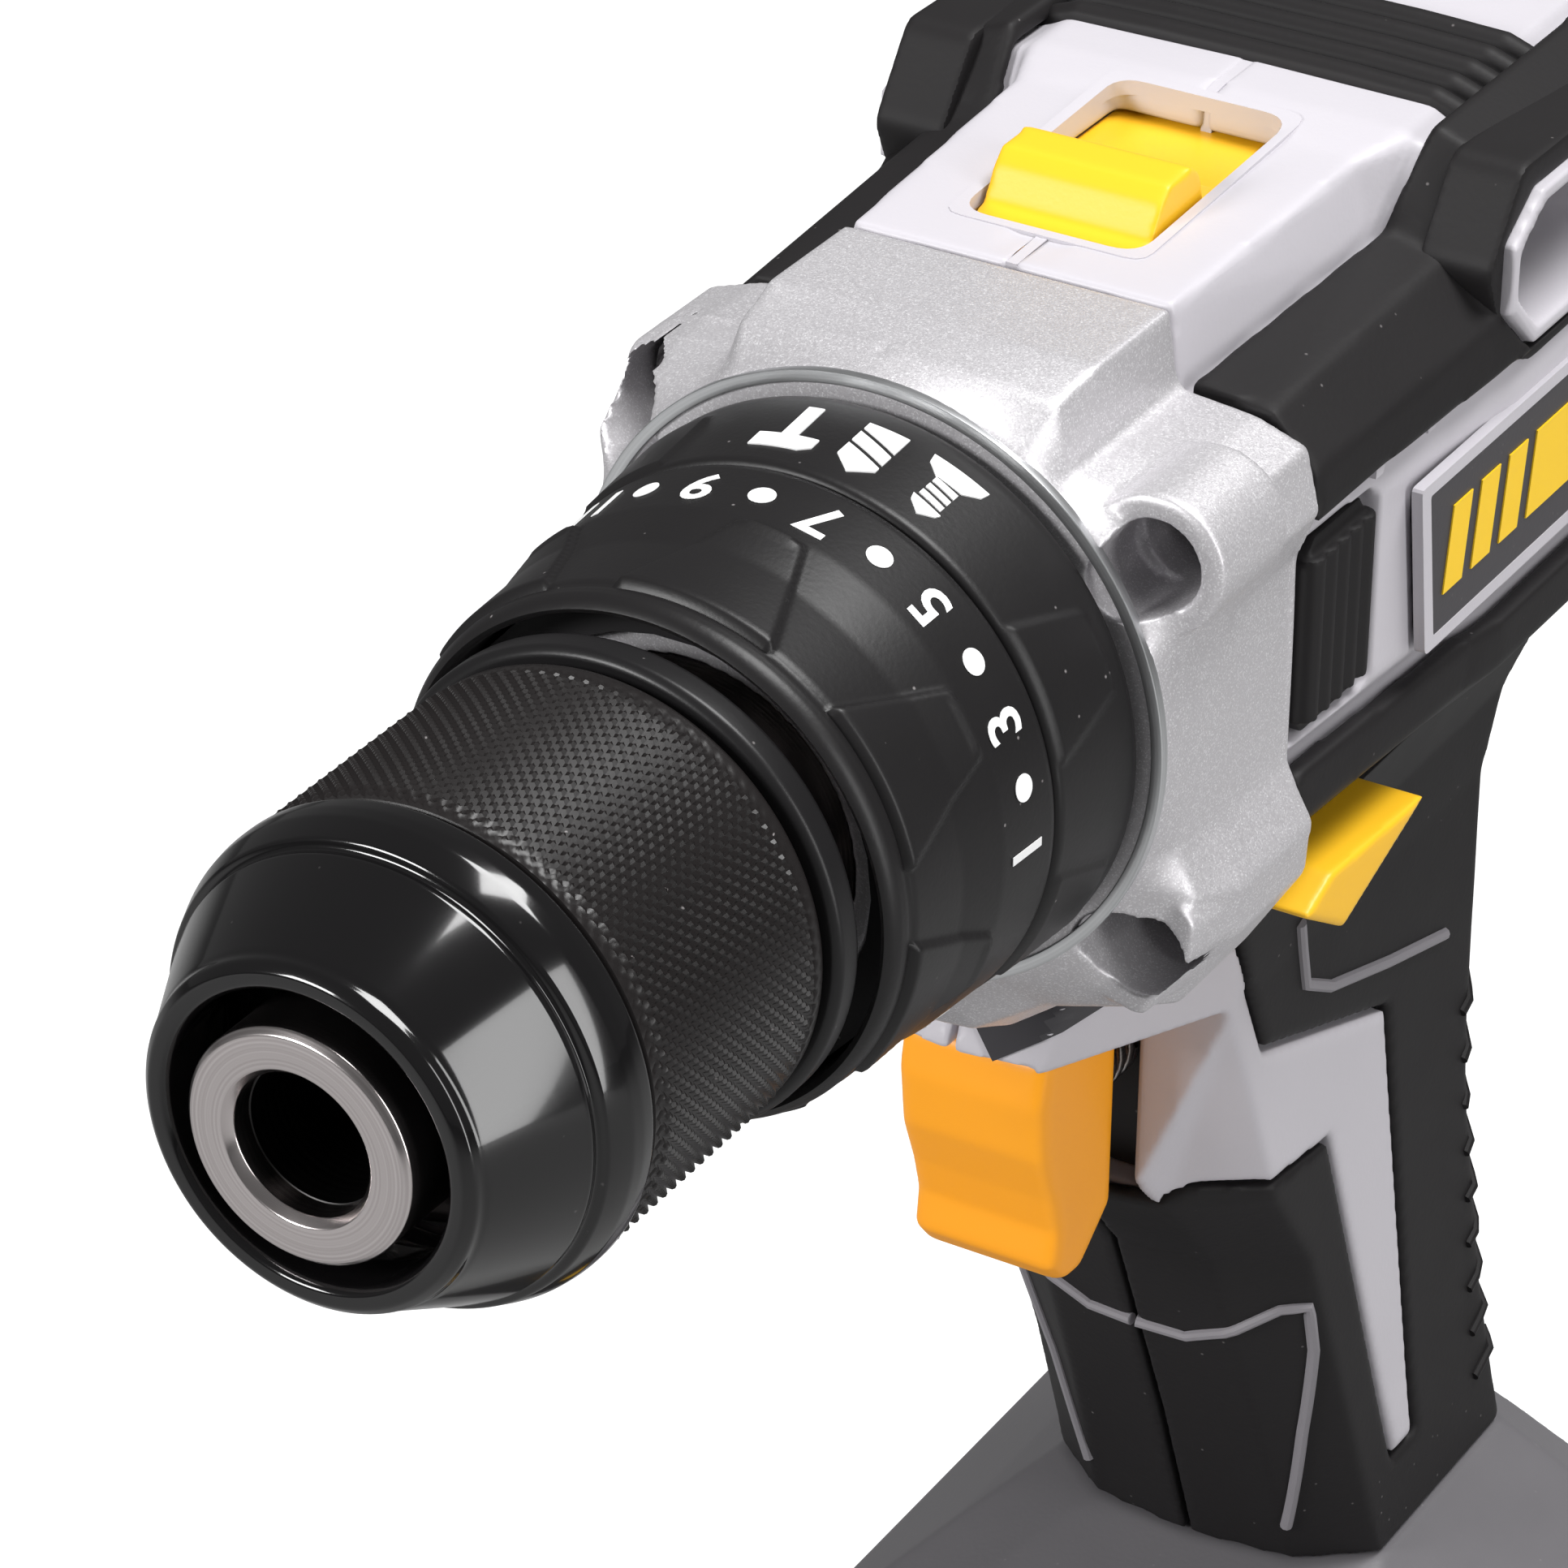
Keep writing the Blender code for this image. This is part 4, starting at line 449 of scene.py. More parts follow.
def ring_with_relief(outer, inner, relief, around=448):
    """A ring with a plain inside whose outside carries a relief. Degrees run from +Z to +X."""
    form = bmesh.new()
    rows = []
    for radius, back in outer:
        row = []
        for i in range(around):
            degrees = 360.0 * i / around
            r = radius + relief(degrees, back)
            angle = math.radians(90.0 - degrees)
            row.append(form.verts.new((r * math.cos(angle), back, r * math.sin(angle))))
        rows.append(row)
    for radius, back in inner:
        row = []
        for i in range(around):
            angle = math.radians(90.0 - 360.0 * i / around)
            row.append(form.verts.new((radius * math.cos(angle), back, radius * math.sin(angle))))
        rows.append(row)
    for row, after in zip(rows, rows[1:] + rows[:1]):
        for i in range(around):
            j = (i + 1) % around
            form.faces.new((row[i], row[j], after[j], after[i]))
    return mesh_of(form)


def stations(profile, pitch):
    """Points every pitch along a (radius, back) profile."""
    points = [profile[0]]
    for (r0, y0), (r1, y1) in zip(profile, profile[1:]):
        count = max(1, round(math.hypot(r1 - r0, y1 - y0) / pitch))
        for k in range(1, count + 1):
            points.append((r0 + (r1 - r0) * k / count, y0 + (y1 - y0) * k / count))
    return points


def torque_relief(degrees, back):
    pitch = 360.0 / PADS
    off = abs((degrees - 8.0 + pitch / 2) % pitch - pitch / 2)
    share = (back - 44.0) / 9.6
    half = 17.5 - 10.5 * share
    pad = eased_step(off, half, 1.3) * eased_step(back, 53.7, 0.5) * (1.0 if back > 43.6 else 0.0)
    rib = eased_step(off, 5.6, 0.8) * eased_step(abs(back - 53.25), 0.32, 0.25) * 0.12
    return 0.5 * pad + rib - 0.12


torque_profile = stations(
    [(19.0, 41.5), (19.35, 41.3), (19.75, 41.6), (20.1, 42.3), (20.15, 43.2), (20.0, 43.6), (20.25, 44.2),
     (20.5, 50.0), (21.35, 54.2), (21.75, 60.4), (21.6, 60.8)],
    0.36,
)
torque_inner = [(18.75, 60.8), (18.75, 41.9)]
torque_skin = ring_with_relief(torque_profile, torque_inner, torque_relief)
fit("torque_ring_skin", torque_skin, "torque_ring", "matt_black", MATT_BLACK, "torque_ring", crease=60)


def wrapped(flat, degrees, back, radius_at):
    """Lays a flat printed figure on a ring, its top towards the chuck, as read from behind."""
    for vertex in flat.vertices:
        across, up, lift = vertex.co
        y = back - up
        radius = radius_at(y) + lift
        angle = math.radians(90.0 - degrees) + across / radius
        vertex.co = (radius * math.cos(angle), y, radius * math.sin(angle))
    return flat


def printed(outlines, thick=0.05):
    """A flat figure from closed outlines, a little proud of its ground."""
    curve = bpy.data.curves.new("figure", "CURVE")
    curve.dimensions = "2D"
    curve.fill_mode = "BOTH"
    curve.extrude = thick / 2
    for outline in outlines:
        spline = curve.splines.new("POLY")
        spline.points.add(len(outline) - 1)
        for point, (across, up) in zip(spline.points, outline):
            point.co = (across, up, 0.0, 1.0)
        spline.use_cyclic_u = True
    return from_curve(curve)


def from_curve(curve):
    drawn = bpy.data.objects.new("drawn", curve)
    bpy.context.scene.collection.objects.link(drawn)
    mesh = bpy.data.meshes.new_from_object(drawn.evaluated_get(bpy.context.evaluated_depsgraph_get()))
    bpy.data.objects.remove(drawn, do_unlink=True)
    return mesh


def numeral(text, height):
    curve = bpy.data.curves.new("numeral", "FONT")
    curve.body = text
    curve.size = height / 0.7
    curve.align_x = "CENTER"
    curve.align_y = "CENTER"
    curve.extrude = 0.025
    curve.offset = 0.09
    curve.resolution_u = 4
    return from_curve(curve)


def together(meshes):
    form = bmesh.new()
    for mesh in meshes:
        form.from_mesh(mesh)
    return mesh_of(form)


def torque_surface(back):
    if back < 54.2:
        return 20.52 + (21.35 - 20.5) * (back - 50.0) / 4.2 - 0.12
    return 21.27 + 0.4 * (back - 54.2) / 6.2


figures = []
for number in range(1, 26):
    degrees = (8 - number) * STEP
    if number % 2:
        figures.append(wrapped(numeral(str(number), 3.5), degrees, 57.2, lambda y: torque_surface(y) + 0.03))
    else:
        dot = [(math.cos(a * math.pi / 12), math.sin(a * math.pi / 12)) for a in range(24)]
        figures.append(wrapped(printed([dot]), degrees, 57.2, lambda y: torque_surface(y) + 0.03))
fit("torque_figures", together(figures), "torque_ring", "matt_black", PRINT_WHITE)

# ---- Mode ring ----------------------------------------------------------------------
# Turns between screwdriving, drilling and hammer drilling. Matt black like the torque
# ring, with shallow pads, and a white picture for each mode.


def mode_surface(back):
    return 21.7 + (22.55 - 21.7) * (back - 61.1) / 9.6


def mode_relief(degrees, back):
    pitch = 360.0 / PADS
    if degrees < 36.0 or degrees > 330.0:
        return 0.0
    off = abs((degrees - 13.0 + pitch / 2) % pitch - pitch / 2)
    half = 14.5 - 6.5 * (back - 61.1) / 8.0
    return 0.28 * eased_step(off, half, 1.2) * eased_step(back, 69.1, 0.6) * (1.0 if back > 61.6 else 0.0)


mode_profile = stations(
    [(21.1, 61.1), (21.55, 61.25), (21.75, 61.6), (22.5, 70.3), (22.45, 70.9), (22.0, 71.4)], 0.36)
mode_inner = [(18.75, 71.4), (18.75, 61.1)]
mode_skin = ring_with_relief(mode_profile, mode_inner, mode_relief)
fit("mode_ring_skin", mode_skin, "mode_ring", "matt_black", MATT_BLACK, "mode_ring", crease=60)


def finely(mesh, pitch=0.5):
    """The mesh cut into narrow strips, so that it can bend round a ring."""
    form = bmesh.new()
    form.from_mesh(mesh)
    for step in range(-10, 11):
        bmesh.ops.bisect_plane(form, geom=form.verts[:] + form.edges[:] + form.faces[:],
                               plane_co=(step * pitch, 0.0, 0.0), plane_no=(1.0, 0.0, 0.0))
    return mesh_of(form)


PICTURE_SCALE = 0.86
HAMMER_PICTURE = [
    [(-0.85, -3.6), (0.65, -3.6), (0.65, 1.0), (-0.85, 1.0)],
    [(-2.9, 0.9), (2.7, 0.9), (2.7, 2.9), (-1.9, 2.9), (-2.9, 2.2)],
]
DRILL_PICTURE = [
    [(-1.9, -3.4), (1.9, -3.4), (1.9, -2.5), (-1.9, -0.9)],
    [(-1.9, -0.4), (1.9, -2.0), (1.9, -0.6), (-1.9, 1.0)],
    [(-1.9, 1.5), (1.9, -0.1), (1.9, 1.7), (0.0, 3.5), (-1.9, 2.1)],
]
SCREW_PICTURE = [
    [(-2.8, -3.4), (2.8, -3.4), (2.6, -2.4), (1.3, -1.3), (-1.3, -1.3), (-2.6, -2.4)],
    [(-1.2, -0.9), (1.2, -1.2), (1.2, -0.6), (-1.2, -0.2)],
    [(-1.2, 0.2), (1.2, -0.2), (1.2, 0.4), (-1.2, 0.8)],
    [(-1.2, 1.2), (1.2, 0.8), (1.2, 1.4), (-1.2, 1.8)],
    [(-1.5, 2.2), (1.5, 1.8), (1.3, 2.5), (0.0, 3.6), (-1.3, 2.7)],
]
pictures = []
for degrees, outlines in ((-7.0, HAMMER_PICTURE), (8.5, DRILL_PICTURE), (24.0, SCREW_PICTURE)):
    for outline in outlines:
        small = [(across * PICTURE_SCALE, up * PICTURE_SCALE) for across, up in outline]
        flat = finely(printed([small], 0.12))
        pictures.append(wrapped(flat, degrees, 66.0, lambda y: mode_surface(y) + 0.06))
fit("mode_pictures", together(pictures), "mode_ring", "matt_black", PRINT_WHITE)

# ---- Gear housing -------------------------------------------------------------------
# A die-cast alloy block sprayed silver. It carries the clutch on its snout and is held
# to the plastic shell by four screws sunk in long scooped bosses.


def flake_paint():
    """Sprayed silver paint: fine bright flakes in a clear coat over a faintly pitted casting."""
    colour, number = "NodeSocketColor", "NodeSocketFloat"
    group, w, given, out = effect(
        "flake_paint",
        [("Paint", colour, (0.6, 0.6, 0.6, 1.0)), ("Flake", colour, (0.9, 0.9, 0.9, 1.0)),
         ("Flake Scale", number, 5200.0), ("Shine", number, 0.4)],
        [("Color", colour), ("Roughness", number), ("Height", number)],
    )
    place = w.put("ShaderNodeTexCoord").outputs["Object"]
    flakes = w.put("ShaderNodeTexVoronoi", {"Vector": place, "Scale": given["Flake Scale"]})
    pick = w.put("ShaderNodeSeparateColor", {0: flakes.outputs["Color"]}).outputs
    bright = w.sum_of("POWER", pick[0], 5.0)
    cloud = w.put("ShaderNodeTexNoise", {"Vector": place}, in_Scale=90.0, in_Detail=5.0)
    pits = w.put("ShaderNodeTexNoise", {"Vector": place}, in_Scale=1400.0, in_Detail=3.0)
    shade = w.blend(w.sum_of("MULTIPLY", cloud.outputs[0], 0.25), given["Paint"], (0.42, 0.40, 0.42))
    w.tree.links.new(w.blend(bright, shade, given["Flake"]), out["Color"])
    w.tree.links.new(w.sum_of("MULTIPLY_ADD", pick[1], 0.16, given["Shine"]), out["Roughness"])
    w.tree.links.new(w.sum_of("MULTIPLY_ADD", pick[2], 0.25, pits.outputs[0]), out["Height"])
    return group


FLAKE_PAINT = flake_paint()
SILVER_PAINT = coated(
    "silver_paint", FLAKE_PAINT,
    {"Paint": (0.60, 0.585, 0.605), "Flake": (0.82, 0.81, 0.83), "Flake Scale": 9000.0, "Shine": 0.38},
    metallic=0.55, bump=0.006 * MM,
)
BARE_ALLOY = turned_metal("bare_alloy", (0.78, 0.79, 0.80), (0.5, 0.51, 0.52), 0.6, 0.3)


def cast(mesh, voxel, passes):
    """Melts a mesh, or several that overlap, into one skin with small round edges."""
    piece = bpy.data.objects.new("cast", mesh)
    bpy.context.scene.collection.objects.link(piece)
    melt = piece.modifiers.new("melt", "REMESH")
    melt.mode = "VOXEL"
    melt.voxel_size = voxel
    ease = piece.modifiers.new("ease", "SMOOTH")
    ease.factor = 0.5
    ease.iterations = passes
    result = bpy.data.meshes.new_from_object(piece.evaluated_get(bpy.context.evaluated_depsgraph_get()))
    bpy.data.objects.remove(piece, do_unlink=True)
    return result


def loft(rings):
    """A closed skin over outlines that have the same number of points."""
    form = bmesh.new()
    rows = [[form.verts.new(point) for point in ring] for ring in rings]
    for row, after in zip(rows, rows[1:]):
        for i in range(len(row)):
            j = (i + 1) % len(row)
            form.faces.new((row[i], row[j], after[j], after[i]))
    form.faces.new(rows[0][::-1])
    form.faces.new(rows[-1])
    bmesh.ops.triangulate(form, faces=form.faces)
    return mesh_of(form)


FLANGE_R = 24.0
block_half = [
    (0.0, 25.0), (13.4, 25.0), (14.3, 19.2), (20.6, 18.6), (24.8, 17.2), (26.0, 12.4), (24.2, 8.2),
    (24.3, -8.4), (26.8, -12.8), (26.4, -17.2), (21.8, -24.6), (14.0, -26.4), (8.0, -31.0), (0.0, -31.5),
]
block_outline = block_half + [(-x, z) for x, z in block_half[-2:0:-1]]


def denser(outline, pitch=1.0):
    """More points along a closed outline, so that a skin over it stays true."""
    points = []
    for start, end in zip(outline, outline[1:] + outline[:1]):
        count = max(1, round(math.dist(start, end) / pitch))
        for k in range(count):
            t = k / count
            points.append((start[0] + (end[0] - start[0]) * t, start[1] + (end[1] - start[1]) * t))
    return points


block_rings = []
for back, reach in ((71.9, 0.0), (75.5, 0.72), (80.5, 1.0), (91.3, 1.0)):
    ring = []
    for x, z in denser(block_outline):
        keep = FLANGE_R / math.hypot(x, z)
        share = keep + (1 - keep) * reach
        ring.append((x * share, back, z * share))
    block_rings.append(ring)
snout = lathe([(6.0, 47.4), (15.0, 47.4), (15.3, 47.7), (15.3, 74.0), (6.0, 74.0)], 96)
bore = lathe([
    (0.001, 40.0), (13.3, 40.0), (13.3, 63.4), (8.4, 63.4), (8.4, 76.0), (19.6, 76.0), (19.6, 99.0),
    (0.001, 99.0),
])
block = together([loft(block_rings), snout])
BOSSES = [(x, z) for x in (-21.6, 21.6) for z in (14.4, -17.0)]
BORE_END = 85.9
outer_wall = loft([
    [(x * share, back, z * share) for x, z in block_outline] for back, share in ((74.3, 0.965), (84.0, 1.0))
])
walls = []
for x, z in BOSSES:
    walls.append(carved(rod((x, 74.2, z), (x, 84.0, z), 5.4, 48), [outer_wall.copy()], "INTERSECT"))
boss_tools = [bore]
for x, z in BOSSES:
    boss_tools.append(rod((x, 60.0, z), (x, BORE_END, z), 3.5, 40))
    boss_tools.append(rod((x, 70.0, z), (x, 99.0, z), 1.8, 24))
    inward = 1 - 1.6 / math.hypot(x, z)
    boss_tools.append(rod((x * inward, 60.0, z * inward), (x * inward, 79.5, z * inward), 2.9, 40))
boss_tools.append(loft([[(-1.4, 60.0, 26.0), (3.2, 60.0, 26.0), (3.2, 60.0, 24.55), (-1.4, 60.0, 24.55)],
                        [(-1.4, 77.6, 26.0), (-1.3, 77.6, 26.0), (-1.3, 77.6, 24.55), (-1.4, 77.6, 24.55)]]))
block = carved(cast(together([block] + walls), 0.36, 1), boss_tools, solver="MANIFOLD")
fit("gear_block", cast(block, 0.3, 1), "housing", "painted_alloy", SILVER_PAINT, "gear_housing", crease=60)
block_rim = lathe(eased([(23.2, 71.6), (24.15, 71.6), (24.15, 72.5), (23.2, 72.5)], 0.15), 144)
fit("gear_block_rim", block_rim, "housing", "painted_alloy", BARE_ALLOY)

for number in range(1, 5):
    softened(f"gear_housing_screw_{number}", OILED_STEEL, 0.15)

# ---- Housing shells -----------------------------------------------------------------
# Two glass-filled nylon halves in pale grey that meet down the middle. They hold the
# gear case, the motor and the switch.

SHELL_GREY = moulding("shell_grey", (0.52, 0.50, 0.535), 0.42, 2200.0, 0.014, 0.10, 0.12, 1.06)


def recast(node, surface, voxel=0.5, passes=3):
    """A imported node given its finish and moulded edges."""
    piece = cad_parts[node]
    piece.data.materials.clear()
    piece.data.materials.append(surface)
    piece.data.shade_smooth()
    join = piece.modifiers.new("join", "WELD")
    join.merge_threshold = 1e-6
    melt = piece.modifiers.new("melt", "REMESH")
    melt.mode = "VOXEL"
    melt.voxel_size = voxel * MM
    melt.use_smooth_shade = True
    ease = piece.modifiers.new("ease", "SMOOTH")
    ease.factor = 0.5
    ease.iterations = passes
    return piece


SIDES = ((1, "right"), (-1, "left"))
for side, name in SIDES:
    recast(f"housing_{name}", SHELL_GREY)


def top_of(back):
    """Height of the shell's top, which rises in three straight runs."""
    runs = ((91.7, 25.0), (118.5, 26.2), (124.0, 27.0), (178.0, 27.6))
    for (y0, z0), (y1, z1) in zip(runs, runs[1:]):
        if back <= y1:
            return z0 + (z1 - z0) * (back - y0) / (y1 - y0)
    return runs[-1][1]


def seam(front, back):
    """The thin lip that fills the joint between the two halves along the top."""
    top = [(y, top_of(y) - 0.1) for y, _ in stations([(front, 0.0), (back, 0.0)], 2.0)]
    rings = [[(x, y, z) for y, z in [(front, 22.6)] + top + [(back, 22.6)]] for x in (-0.45, 0.45)]
    return loft(rings)


def rounded_frame(x, front, back, rim, radius):
    """A flat frame with a round-cornered opening, as outlines of (x, back)."""
    opening = eased([(-x, front), (x, front), (x, back), (-x, back)], radius, 6)
    side, near, far = x + rim, front - rim, back + rim
    outside = eased([(-side, near), (side, near), (side, far), (-side, far)], 1.5)
    return [outside, opening]


frame_mesh = printed(rounded_frame(7.4, 97.4, 121.6, 0.9, 2.4), 1.2)
for vertex in frame_mesh.vertices:
    x, back, lift = vertex.co
    vertex.co = (x, back, top_of(back) + lift - 0.52)
lips = together([seam(92.0, 97.0), seam(122.2, 176.0)])
fit("saddle_seam", lips, "housing", "pale_grey_plastic", SHELL_GREY)
fit("slider_frame", frame_mesh, "housing", "pale_grey_plastic", SHELL_GREY)

# ---- Rubber overmould ---------------------------------------------------------------
# Soft black rubber moulded over the flanks and the grip. Ribs run across the top behind
# the slider, a ribbed pad sits on each cheek, and a thick boot frames each side vent.

SOFT_RUBBER = moulding("soft_rubber", (0.008, 0.007, 0.0075), 0.6, 1900.0, 0.014, 0.12, 0.25)


def outward(mesh):
    """The mesh with its faces turned out."""
    form = bmesh.new()
    form.from_mesh(mesh)
    bmesh.ops.recalc_face_normals(form, faces=form.faces)
    return mesh_of(form)


def upright(flat, side, out):
    """Stands a flat figure drawn as (back, up) on a side of the drill."""
    for vertex in flat.vertices:
        back, up, lift = vertex.co
        vertex.co = (side * (out + lift), back, up)
    return outward(flat)


def tube(points, radius):
    curve = bpy.data.curves.new("tube", "CURVE")
    curve.dimensions = "3D"
    curve.bevel_depth = radius
    curve.bevel_resolution = 3
    curve.use_fill_caps = True
    spline = curve.splines.new("POLY")
    spline.points.add(len(points) - 1)
    for point, place in zip(spline.points, points):
        point.co = (*place, 1.0)
    return from_curve(curve)


def across_top(back, lift=0.0):
    """A line over the shell's top from flank to flank."""
    half = [(0.0, 27.1), (8.0, 27.1), (15.2, 26.9), (16.6, 26.4), (19.0, 25.5), (21.6, 24.4), (23.2, 22.4)]
    line = [(-x, z) for x, z in half[:0:-1]] + half
    return [(x * (1 + lift / 40.0), back, z + lift) for x, z in line]


bands = []
for number in range(5):
    bands.append(tube(across_top(130.0 + 3.0 * number, -0.1), 1.2))
under = loft([across_top(129.0, -0.05) + [(23.0, 129.0, 20.0), (-23.0, 129.0, 20.0)],
              across_top(143.0, -0.05) + [(23.0, 143.0, 20.0), (-23.0, 143.0, 20.0)]])
fit("top_ribs", cast(together([outward(under)] + bands), 0.25, 1), "housing", "black_rubber", SOFT_RUBBER)
PAD = [(93.6, -7.4), (101.6, -7.4), (103.0, -5.4), (103.0, 6.2), (101.4, 8.4), (94.2, 8.4), (92.2, 6.4),
       (92.2, -6.0)]
COLLAR = [(117.4, 20.0), (122.4, 27.0), (140.0, 26.4), (152.4, 19.6), (150.0, 10.4), (126.0, 9.6),
          (121.2, 12.0)]
VENT = [(120.0, 21.6), (124.6, 24.6), (146.0, 24.6), (150.4, 18.0), (146.0, 11.8), (124.6, 11.8),
        (120.0, 16.0)]
for side, name in SIDES:
    recast(f"flank_rubber_{name}", SOFT_RUBBER)
    recast(f"grip_rubber_{name}", SOFT_RUBBER)
    pad = loft([[(side * x, back, z) for back, z in PAD] for x in (22.4, 24.3)])
    ribs = []
    for number in range(5):
        back = 93.7 + 2.0 * number
        ribs.append(rod((side * 24.2, back, -6.2), (side * 24.2, back, 7.2), 1.15, 20))
    ribbed = cast(together([outward(pad)] + ribs), 0.22, 3)
    fit(f"ribbed_pad_{name}", ribbed, "housing", "black_rubber", SOFT_RUBBER, f"finger_pad_{name}")
    boot = upright(printed([eased(COLLAR, 1.2), VENT], 6.0), side, 23.2)
    fit(f"vent_boot_{name}", cast(boot, 0.3, 4), "housing", "black_rubber", SOFT_RUBBER)
    teeth = []
    for back in (101.4, 110.0, 118.2):
        tooth = [(back, 10.2), (back + 1.2, 10.2), (back + 2.4, 13.0), (back + 1.2, 14.6), (back + 0.3, 13.4)]
        teeth.append(upright(printed([tooth], 1.6), side, 24.6))
    fit(f"edge_teeth_{name}", together(teeth), "housing", "pale_grey_plastic", SHELL_GREY)

# Thin grey lines are let into the grip's rubber, and short bars stand in its pale stripe.
LINE_GREY = moulding("line_grey", (0.20, 0.19, 0.205), 0.5, 2200.0, 0.006, 0.1, 0.1)
grip_form = bmesh.new()
for name in ("grip_rubber_right", "grip_rubber_left", "housing_right", "housing_left"):
    grip_form.from_mesh(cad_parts[name].data)
grip_form.transform(TO_WORLD.inverted())
grip_skin = BVHTree.FromBMesh(grip_form)


def on_grip(x, back, up, middle=133.0):
    """The point of the grip's skin nearest the line from its middle through a place."""
    aim = Vector((x, back - middle, 0.0)).normalized()
    start = Vector((0.0, middle, up)) + aim * 60.0
    return grip_skin.ray_cast(start, -aim)[0]


def line_on_grip(places, radius=0.55):
    """A cord laid on the grip's skin through the places given."""
    points = []
    for start, end in zip(places, places[1:]):
        count = max(2, round(math.dist(start, end) / 1.2))
        for k in range(count):
            points.append(on_grip(*[a + (b - a) * k / count for a, b in zip(start, end)]))
    points.append(on_grip(*places[-1]))
    return tube([point for point in points if point], radius)


LOW_LINE = ((0.3, 114.0, -82.8), (6.0, 115.0, -83.2), (10.0, 116.0, -81.4), (14.6, 118.4, -78.4),
            (15.6, 121.0, -78.2), (15.6, 123.2, -84.0), (15.6, 128.4, -107.4))
HIGH_LINE = ((113.6, -36.6), (115.4, -43.4), (120.0, -46.0), (131.0, -49.4), (142.0, -52.4))
for side, name in SIDES:
    lines = [
        line_on_grip([(side * x, back, up) for x, back, up in LOW_LINE]),
        line_on_grip([(side * 15.5, back, up) for back, up in HIGH_LINE]),
    ]
    fit(f"grip_lines_{name}", together(lines), "housing", "dark_grey_plastic", LINE_GREY)
    bars = []
    for number in range(9):
        up = -60.0 - 5.2 * number
        lean = 0.18 * (up + 60)
        ends = [(side * 14.0, 150.6 - lean, up), (side * 15.2, 146.6 - lean, up - 2.6)]
        bars.append(line_on_grip(ends, 0.5))
    fit(f"grip_bars_{name}", together(bars), "housing", "black_rubber", SOFT_RUBBER)


def patch_on_neck(corners, lift, count=10):
    """A thin patch between four (x, up) corners that follows the front of the neck."""
    form = bmesh.new()
    grid = []
    for i in range(count + 1):
        row = []
        for j in range(count + 1):
            u, v = i / count, j / count
            top = Vector(corners[0]).lerp(Vector(corners[1]), u)
            low = Vector(corners[3]).lerp(Vector(corners[2]), u)
            x, z = top.lerp(low, v)
            hit, normal, _, _ = grip_skin.ray_cast(Vector((x, 60.0, z)), Vector((0.0, 1.0, 0.0)))
            row.append(form.verts.new(hit + normal * lift if hit else (x, 90.0, z)))
        grid.append(row)
    for row, after in zip(grid, grid[1:]):
        for j in range(count):
            form.faces.new((row[j], row[j + 1], after[j + 1], after[j]))
    return mesh_of(form)


# A thin dark patch faces forward on the neck, under the gear housing: painted shade where a notch in the neck
# falls in shadow.
NECK_PAINTED_SHADE = moulding("neck_painted_shade", (0.035, 0.033, 0.037), 0.25, 2400.0, 0.004, 0.1, 0.1)
built = patch_on_neck([(0.6, -34.9), (8.0, -30.8), (12.4, -33.0), (3.6, -38.6)], 0.22)
fit("neck_shade_patch", built, "housing", "dark_grey_plastic", NECK_PAINTED_SHADE)

# ---- Name plates --------------------------------------------------------------------
# A thin dark plate is glued in a recess on each flank, inside a raised border of the
# shell. Plain slanted yellow bars are printed on it.

PLATE_DARK = moulding("plate_dark", (0.035, 0.032, 0.036), 0.3, 2400.0, 0.006, 0.1, 0.1)
PLATE_YELLOW = moulding("plate_yellow", (0.95, 0.60, 0.01), 0.4, 2400.0, 0.004, 0.08, 0.0, 1.02)
PLATE = [(108.5, 6.0), (158.0, 6.0), (158.0, -6.6), (110.5, -6.6)]
RIM = [(106.9, 7.1), (159.2, 7.1), (159.2, -7.7), (109.2, -7.7)]
for side, name in SIDES:
    softened(f"name_plate_{name}", PLATE_DARK, 0.2)
    border = upright(printed([eased(RIM, 0.6), eased(PLATE, 0.3)], 0.9), side, 26.2)
    fit(f"plate_rim_{name}", border, "housing", "pale_grey_plastic", SHELL_GREY)
    bars = []
    for number, (front, length) in enumerate(((111.6, 3.2), (116.4, 3.2), (121.2, 3.2), (126.0, 28.0))):
        bar = [(front + 1.1, 3.4), (front + length + 1.1, 3.4), (front + length, -3.6), (front, -3.6)]
        bars.append(upright(printed([bar], 0.12), side, 26.66))
    fit(f"plate_bars_{name}", together(bars), "housing", "name_plate", PLATE_YELLOW)

# ---- Controls -----------------------------------------------------------------------
# The speed slider and the direction lever are moulded in yellow, the trigger in orange.
# A wound steel spring behind the trigger pushes it back out.

CONTROL_YELLOW = moulding("control_yellow", (0.90, 0.50, 0.015), 0.42, 2400.0, 0.01, 0.08, 0.0, 1.03)
TRIGGER_ORANGE = moulding("trigger_orange", (1.0, 0.36, 0.004), 0.4, 2400.0, 0.01, 0.08, 0.0, 1.1)
recast("speed_slider", CONTROL_YELLOW, 0.28, 9)
recast("direction_lever", CONTROL_YELLOW, 0.3)
recast("trigger", TRIGGER_ORANGE, 0.35, 8)
SPRING_STEEL = turned_metal("spring_steel", (0.55, 0.54, 0.53), (0.35, 0.34, 0.33), 0.3, 0.25)
COIL_FRONT, COIL_BACK, COIL_UP = 102.7, 109.8, -50.0
COIL_R, COIL_WIRE, COIL_TURNS = 3.4, 0.4, 6
coil = []
for i in range(COIL_TURNS * 24 + 1):
    angle = 2 * math.pi * i / 24
    share = min(1.0, max(0.0, (i / 24 - 0.6) / (COIL_TURNS - 1.2)))
    back = COIL_FRONT + (COIL_BACK - COIL_FRONT) * share
    coil.append((COIL_R * math.cos(angle), back, COIL_R * math.sin(angle) + COIL_UP))
spring = fit("return_spring", tube(coil, COIL_WIRE), "housing", "ground_steel", SPRING_STEEL,
             "trigger_spring", crease=80)
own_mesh(spring)

